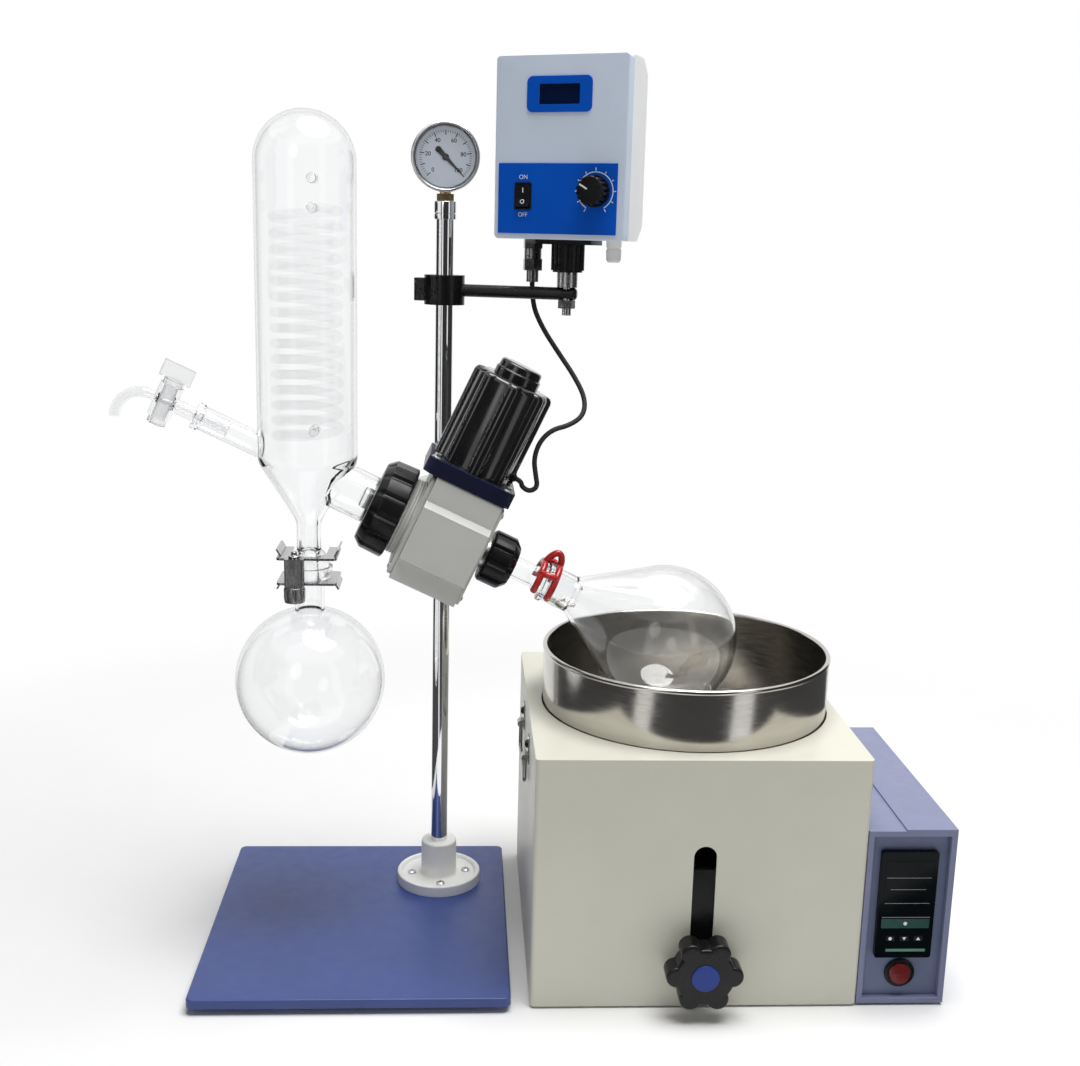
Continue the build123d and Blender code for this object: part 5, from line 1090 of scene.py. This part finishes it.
# Control box front: display frame, switch words and marks, knob scale and pointer
FACE_Z = 29.0
PANEL_Z = 30.0
DISPLAY_AT = (-1.5, 43.0)
ROCKER_AT = (-32.0, -39.5)
WORD_RISE = 15.5
WORD_SIZE = 5.0
MARK_T = 0.12
ROCKER_MARK_AT = 4.8
ROCKER_HALF = 9.2
VALLEY_Z = 0.4  # the rocker's lowest line, above the panel


def framed(name, outer, hole, low, high, look, edge):
    """A flat frame on the control box."""
    blank = slab_mesh(name, outer, low, high, BOX)
    opening = slab_mesh(f"{name}_hole", hole, low - 1, high + 1, BOX)
    add(name, joined(name, [blank], [opening]), look, "stand", edge=edge)


def rocker_side(rise):
    """A local frame on one half of the rocker, which rises by this much to its end."""
    lowest = BOX @ shift(*ROCKER_AT, PANEL_Z + VALLEY_Z)
    return lowest @ Matrix.Rotation(atan2(rise, ROCKER_HALF), 4, "X")


framed(
    "display_frame", rectangle(58, 29, 5, DISPLAY_AT), rectangle(36.2, 16.2, 1, DISPLAY_AT),
    FACE_Z - 0.2, FACE_Z + 1.1, PANEL_BLUE, 0.4,
)
for word, rise in (("ON", WORD_RISE), ("OFF", -WORD_RISE)):
    spot = BOX @ shift(ROCKER_AT[0], ROCKER_AT[1] + rise, PANEL_Z)
    lettering(f"switch_{word.lower()}", word, WORD_SIZE, spot, PRINT_WHITE, "stand")
framed(
    "rocker_rim", rectangle(15.5, 22.5, 1.5, ROCKER_AT), rectangle(12.5, 19.4, 0.6, ROCKER_AT),
    PANEL_Z - 0.1, PANEL_Z + 0.9, BLACK_PLASTIC, 0.25,
)
line = rectangle(0.9, 4.0, 0.2, (0, ROCKER_MARK_AT))
slab("rocker_line", line, 0.0, MARK_T, rocker_side(0.8), PRINT_WHITE, "power_switch")
lathe(
    "rocker_circle",
    [(0, 1.3), (0, 1.9), (MARK_T, 1.9), (MARK_T, 1.3)],
    rocker_side(-2.8) @ shift(0, -ROCKER_MARK_AT), PRINT_WHITE, "power_switch", count=40, ring=True,
)
KNOB = BOX @ shift(33.0, -35.0, PANEL_Z)
SCALE_START = 240
SCALE_SWEEP = 300
SCALE_MARKS = 10
SCALE_BOW_STEPS = 50
SCALE_IN_R = 15.2
SCALE_OUT_R = 16.0
SCALE_T = 0.1
MARK_R = 16.4
marks = []
for step in range(SCALE_MARKS + 1):
    turn = radians(SCALE_START - SCALE_SWEEP * step / SCALE_MARKS)
    length = 2.8 if step % 5 == 0 else 1.8
    mark = rectangle(length, 0.7, 0, (MARK_R + length / 2, 0))
    marks.append(slab_mesh("mark", mark, 0, SCALE_T, KNOB @ Matrix.Rotation(turn, 4, "Z")))
for step in range(SCALE_BOW_STEPS):
    start = radians(SCALE_START - SCALE_SWEEP * step / SCALE_BOW_STEPS)
    end = radians(SCALE_START - SCALE_SWEEP * (step + 1) / SCALE_BOW_STEPS)
    ends = ((SCALE_IN_R, start), (SCALE_OUT_R, start), (SCALE_OUT_R, end), (SCALE_IN_R, end))
    bow = [(radius * cos(turn), radius * sin(turn)) for radius, turn in ends]
    marks.append(slab_mesh("bow", bow, 0, SCALE_T, KNOB))
add("knob_scale", merged("knob_scale", marks), PRINT_WHITE, "stand")
KNOB_TOP = 15.3
pointer = KNOB @ Matrix.Rotation(radians(150), 4, "Z") @ shift(6.2, 0)
line = rectangle(8.0, 1.3, 0.5)
slab("knob_pointer", line, KNOB_TOP - 0.3, KNOB_TOP + 0.15, pointer, PRINT_WHITE, "speed_control")

# Mains inlet and fuse cap below the box
BOX_UNDER_Z = 629.0


def under_box(across, forward):
    """A local frame on the underside of the control box that looks down."""
    spot = BOX_AT + BOX_SIDE * across + BOX_OUT * forward
    return local((spot.x, spot.y, BOX_UNDER_Z), (1, 0, 0), (0, 0, -1))


lathe(
    "inlet_moulding",
    [
        (0, 3.25), (0, 6.5), (5, 6.5, 0.4), (5.4, 5.9), (7, 5.9), (7.4, 6.5, 0.4), (16, 6.2, 1.0),
        (18, 4.8, 0.5), (18, 3.25),
    ],
    under_box(43.0, 6.5), NYLON, "stand", ["mains_inlet"], ring=True,
)
lathe(
    "fuse_cap",
    [(0, 0), (0, 6), (2, 6, 0.4), (2.3, 5.4), (9.8, 5.4, 0.8), (11, 4, 0.4), (11, 0)],
    under_box(38.0, -10.0), BLACK_PLASTIC, "stand",
)

# Gauge needle: counterweight and hub cap
NEEDLE_T = 0.8
NEEDLE_TURN = radians(135)
WEIGHT_AT = 9.0
NEEDLE = facing(GAUGE_AT.x, extent("gauge_needle")[0].y + NEEDLE_T, GAUGE_AT.z)
lathe(
    "needle_weight",
    [(0, 0), (0, 2.7), (NEEDLE_T, 2.7, 0.2), (NEEDLE_T, 0)],
    NEEDLE @ Matrix.Rotation(NEEDLE_TURN, 4, "Z") @ shift(WEIGHT_AT, 0), INK, "needle", count=40,
)
lathe("needle_cap", [(0.7, 0), (0.7, 2.3), (1.5, 1.9, 0.4), (1.5, 0)], NEEDLE, INK, "needle", count=40)

# Bath controls: temperature controller face and switch rim
POD_X = 316.0
CONTROLLER_Z = 92.0
SWITCH_Z = 28.0
POD_PANEL_Y = -125.0
CONTROLLER = facing(POD_X, extent("controller_case")[0].y, CONTROLLER_Z)
BAND_RISE = -16.5
CONTROLLER_FIELDS = (
    ("screen", rectangle(41, 48, 1.5, (0, 16)), SCREEN),
    ("band", rectangle(41, 8.5, 0.8, (0, BAND_RISE)), BAND_GREEN),
    ("foot", rectangle(34, 2.4, 0.6, (2, -41)), FOOT_GREEN),
)
for field, outline, look in CONTROLLER_FIELDS:
    slab(f"controller_{field}", outline, -0.2, 0.3, CONTROLLER, look, "stand", edge=0.15)
lines = []
for rise, width in ((25.0, 38), (14.5, 30), (2.0, 38), (-10.8, 41)):
    lines.append(slab_mesh("line", rectangle(width, 0.5, 0, (0, rise)), -0.1, 0.42, CONTROLLER))
add("controller_lines", merged("controller_lines", lines), LINE_GREY, "stand")
lathe(
    "controller_dot",
    [(-0.1, 0), (-0.1, 1.6), (0.55, 1.6, 0.3), (0.55, 0)],
    CONTROLLER @ shift(0, BAND_RISE), PRINT_WHITE, "stand", count=32,
)
KEY_ICONS = {
    "set_key": ("key_one", circle(1.5, 24)),
    "down_key": ("key_two", [(-1.7, 1.3), (0, -1.5), (1.7, 1.3)]),
    "up_key": ("key_three", [(-1.7, -1.3), (1.7, -1.3), (0, 1.5)]),
}
for key, (body, outline) in KEY_ICONS.items():
    at = middle(key)
    slab(f"{key}_mark", outline, -0.05, 0.1, facing(at.x, extent(key)[0].y, at.z), PRINT_WHITE, body)
lathe(
    "switch_rim",
    [
        (-1.95, 12.52), (-1.95, 12.8), (0.1, 12.8, 0.5), (0.5, 11.8, 0.4), (0.5, 9.65, 0.2),
        (0.02, 9.65), (0.02, 12.52),
    ],
    facing(POD_X, POD_PANEL_Y, SWITCH_Z), BLACK_PLASTIC, "stand", ring=True,
)

# Carrying handle on the left side of the bath: two ears with screws and a bail that hangs from them
HANDLE_HALF = 43.0
HANDLE_BAR_R = 1.8
HANDLE_DROP = 24.0
HANDLE_CORNER = 6.0
HANDLE_OUT = 3.4
EAR_T = 1.2
EAR_RISE = 7.0
EAR_SCREW_RISE = 12.0
BARREL_HALF = 5.0
HANDLE = local((extent("bath_housing")[0].x, 19.0, 182.0), (0, -1, 0), (-1, 0, 0))
bail = [(-HANDLE_HALF, 0)]
for side, first in ((-1, 180), (1, 270)):
    for step in range(CORNER_STEPS + 1):
        turn = radians(first + 90 * step / CORNER_STEPS)
        across = side * (HANDLE_HALF - HANDLE_CORNER) + HANDLE_CORNER * cos(turn)
        bail.append((across, HANDLE_CORNER - HANDLE_DROP + HANDLE_CORNER * sin(turn)))
bail.append((HANDLE_HALF, 0))
bar = tube_mesh("handle_bail", [HANDLE @ Vector((*point, HANDLE_OUT)) for point in bail], HANDLE_BAR_R)
add("handle_bail", bar, GLAND, "stand")
for number, side in enumerate((-1, 1)):
    ear_at = HANDLE @ shift(side * HANDLE_HALF, 0)
    plate = slab_mesh("ear_plate", rectangle(13.0, 26.0, 3.0, (0, EAR_RISE)), 0, EAR_T, ear_at)
    barrel_at = ear_at @ shift(0, 0, HANDLE_OUT) @ Matrix.Rotation(pi / 2, 4, "Y")
    barrel = stick("ear_barrel", -BARREL_HALF, BARREL_HALF, HANDLE_OUT, barrel_at, 32)
    add(f"handle_ear_{number}", joined("handle_ear", [plate, barrel]), GLAND, "stand", edge=0.2)
    screw_at = ear_at @ shift(0, EAR_SCREW_RISE, EAR_T)
    screw = cross_screw("handle_screw", screw_at, 3.6, 2.6)
    add(f"handle_screw_{number}", screw, BLACK_METAL, "stand")

# Floor, in metres: it fades to the white of the background away from the object
FLOOR_HALF = 6.0
FADE_FROM = 0.5
FADE_TO = 1.1


def seen_directly(tree):
    """1 for what the camera sees itself, in a mirror or through glass."""
    path = put(tree, "LightPath", {})
    seen = path["Is Camera Ray"]
    for kind in ("Is Glossy Ray", "Is Transmission Ray"):
        seen = put(tree, "Math", {0: seen, 1: path[kind]}, operation="MAXIMUM")["Value"]
    return seen


FLOOR_WHITE = surface("floor_white", (0.93, 0.93, 0.93), 0.7, tone=0.004, bump=0, shine=0.1)
tree = FLOOR_WHITE.node_tree
distance = put(tree, "VectorMath", {0: put(tree, "TexCoord", {})["Object"]}, operation="LENGTH")["Value"]
limits = {"From Min": FADE_FROM, "From Max": FADE_TO}
fade = put(tree, "MapRange", {"Value": distance, **limits}, interpolation_type="SMOOTHSTEP")["Result"]
share = put(tree, "Math", {0: fade, 1: seen_directly(tree)}, operation="MULTIPLY")["Value"]
white = put(tree, "Emission", {"Color": (1, 1, 1, 1)})["Emission"]
bare = tree.nodes["Principled BSDF"].outputs["BSDF"]
floor = put(tree, "MixShader", {"Fac": share, 1: bare, 2: white})["Shader"]
tree.links.new(floor, tree.nodes["Material Output"].inputs["Surface"])


def stage_sheet(name, points, faces, look):
    mesh = bpy.data.meshes.new(name)
    mesh.from_pydata(points, [], faces)
    mesh.materials.append(look)
    sheet = bpy.data.objects.new(name, mesh)
    scene.collection.objects.link(sheet)
    return sheet


floor_points = [(x * FLOOR_HALF, y * FLOOR_HALF, 0) for x, y in CORNERS]
stage_sheet("floor", floor_points, [(0, 1, 2, 3)], FLOOR_WHITE)

# Dark studio screens before the object and on the floor, which only reflections show. Sizes in metres.
SCREEN_R = 2.6
SCREEN_NEAR = 0.36
SCREEN_H = 2.4
SCREEN_STEPS = 12
SCREENS = [(-132, -36), (-22, 36), (50, 132)]  # degrees from the front, leftwards first
SCREEN_DARK = surface("screen_dark", (0.035, 0.035, 0.037), 0.9, tone=0.1, bump=0)
for number, (first, last) in enumerate(SCREENS):
    ring = []
    for step in range(SCREEN_STEPS + 1):
        angle = radians(first + (last - first) * step / SCREEN_STEPS)
        for out, height in ((SCREEN_NEAR, 0.004), (SCREEN_R, 0.02), (SCREEN_R, SCREEN_H)):
            ring.append((out * sin(angle), -out * cos(angle), height))
    sheets = []
    for step in range(SCREEN_STEPS):
        for row in (0, 1):
            corner = 3 * step + row
            sheets.append((corner, corner + 3, corner + 4, corner + 1))
    screen = stage_sheet(f"screen_{number}", ring, sheets, SCREEN_DARK)
    screen.visible_camera = False
    screen.visible_diffuse = False
    screen.visible_transmission = False
    screen.visible_shadow = False

# Light, in metres and watts
AMBIENT = 0.15
world = bpy.data.worlds.new("studio")
scene.world = world
world.use_nodes = True
tree = world.node_tree
amount = put(tree, "MapRange", {"Value": seen_directly(tree), "To Min": AMBIENT, "To Max": 1.0})["Result"]
sky = tree.nodes["Background"].inputs
tree.links.new(amount, sky["Strength"])
sky["Color"].default_value = (1, 1, 1, 1)


def softbox(name, at, aim, width, height, power):
    data = bpy.data.lights.new(name, "AREA")
    data.shape = "ELLIPSE"
    data.size = width
    data.size_y = height
    data.energy = power
    lamp = bpy.data.objects.new(name, data)
    lamp.location = at
    lamp.rotation_euler = (Vector(aim) - Vector(at)).to_track_quat("-Z", "Y").to_euler()
    scene.collection.objects.link(lamp)


softbox("top_light", at=(0.34, -0.12, 2.4), aim=(0, 0, 0.2), width=1.8, height=1.8, power=70)
softbox("front_light", at=(-0.9, -2.2, 1.5), aim=(0, 0, 0.4), width=0.8, height=1.2, power=2.6)
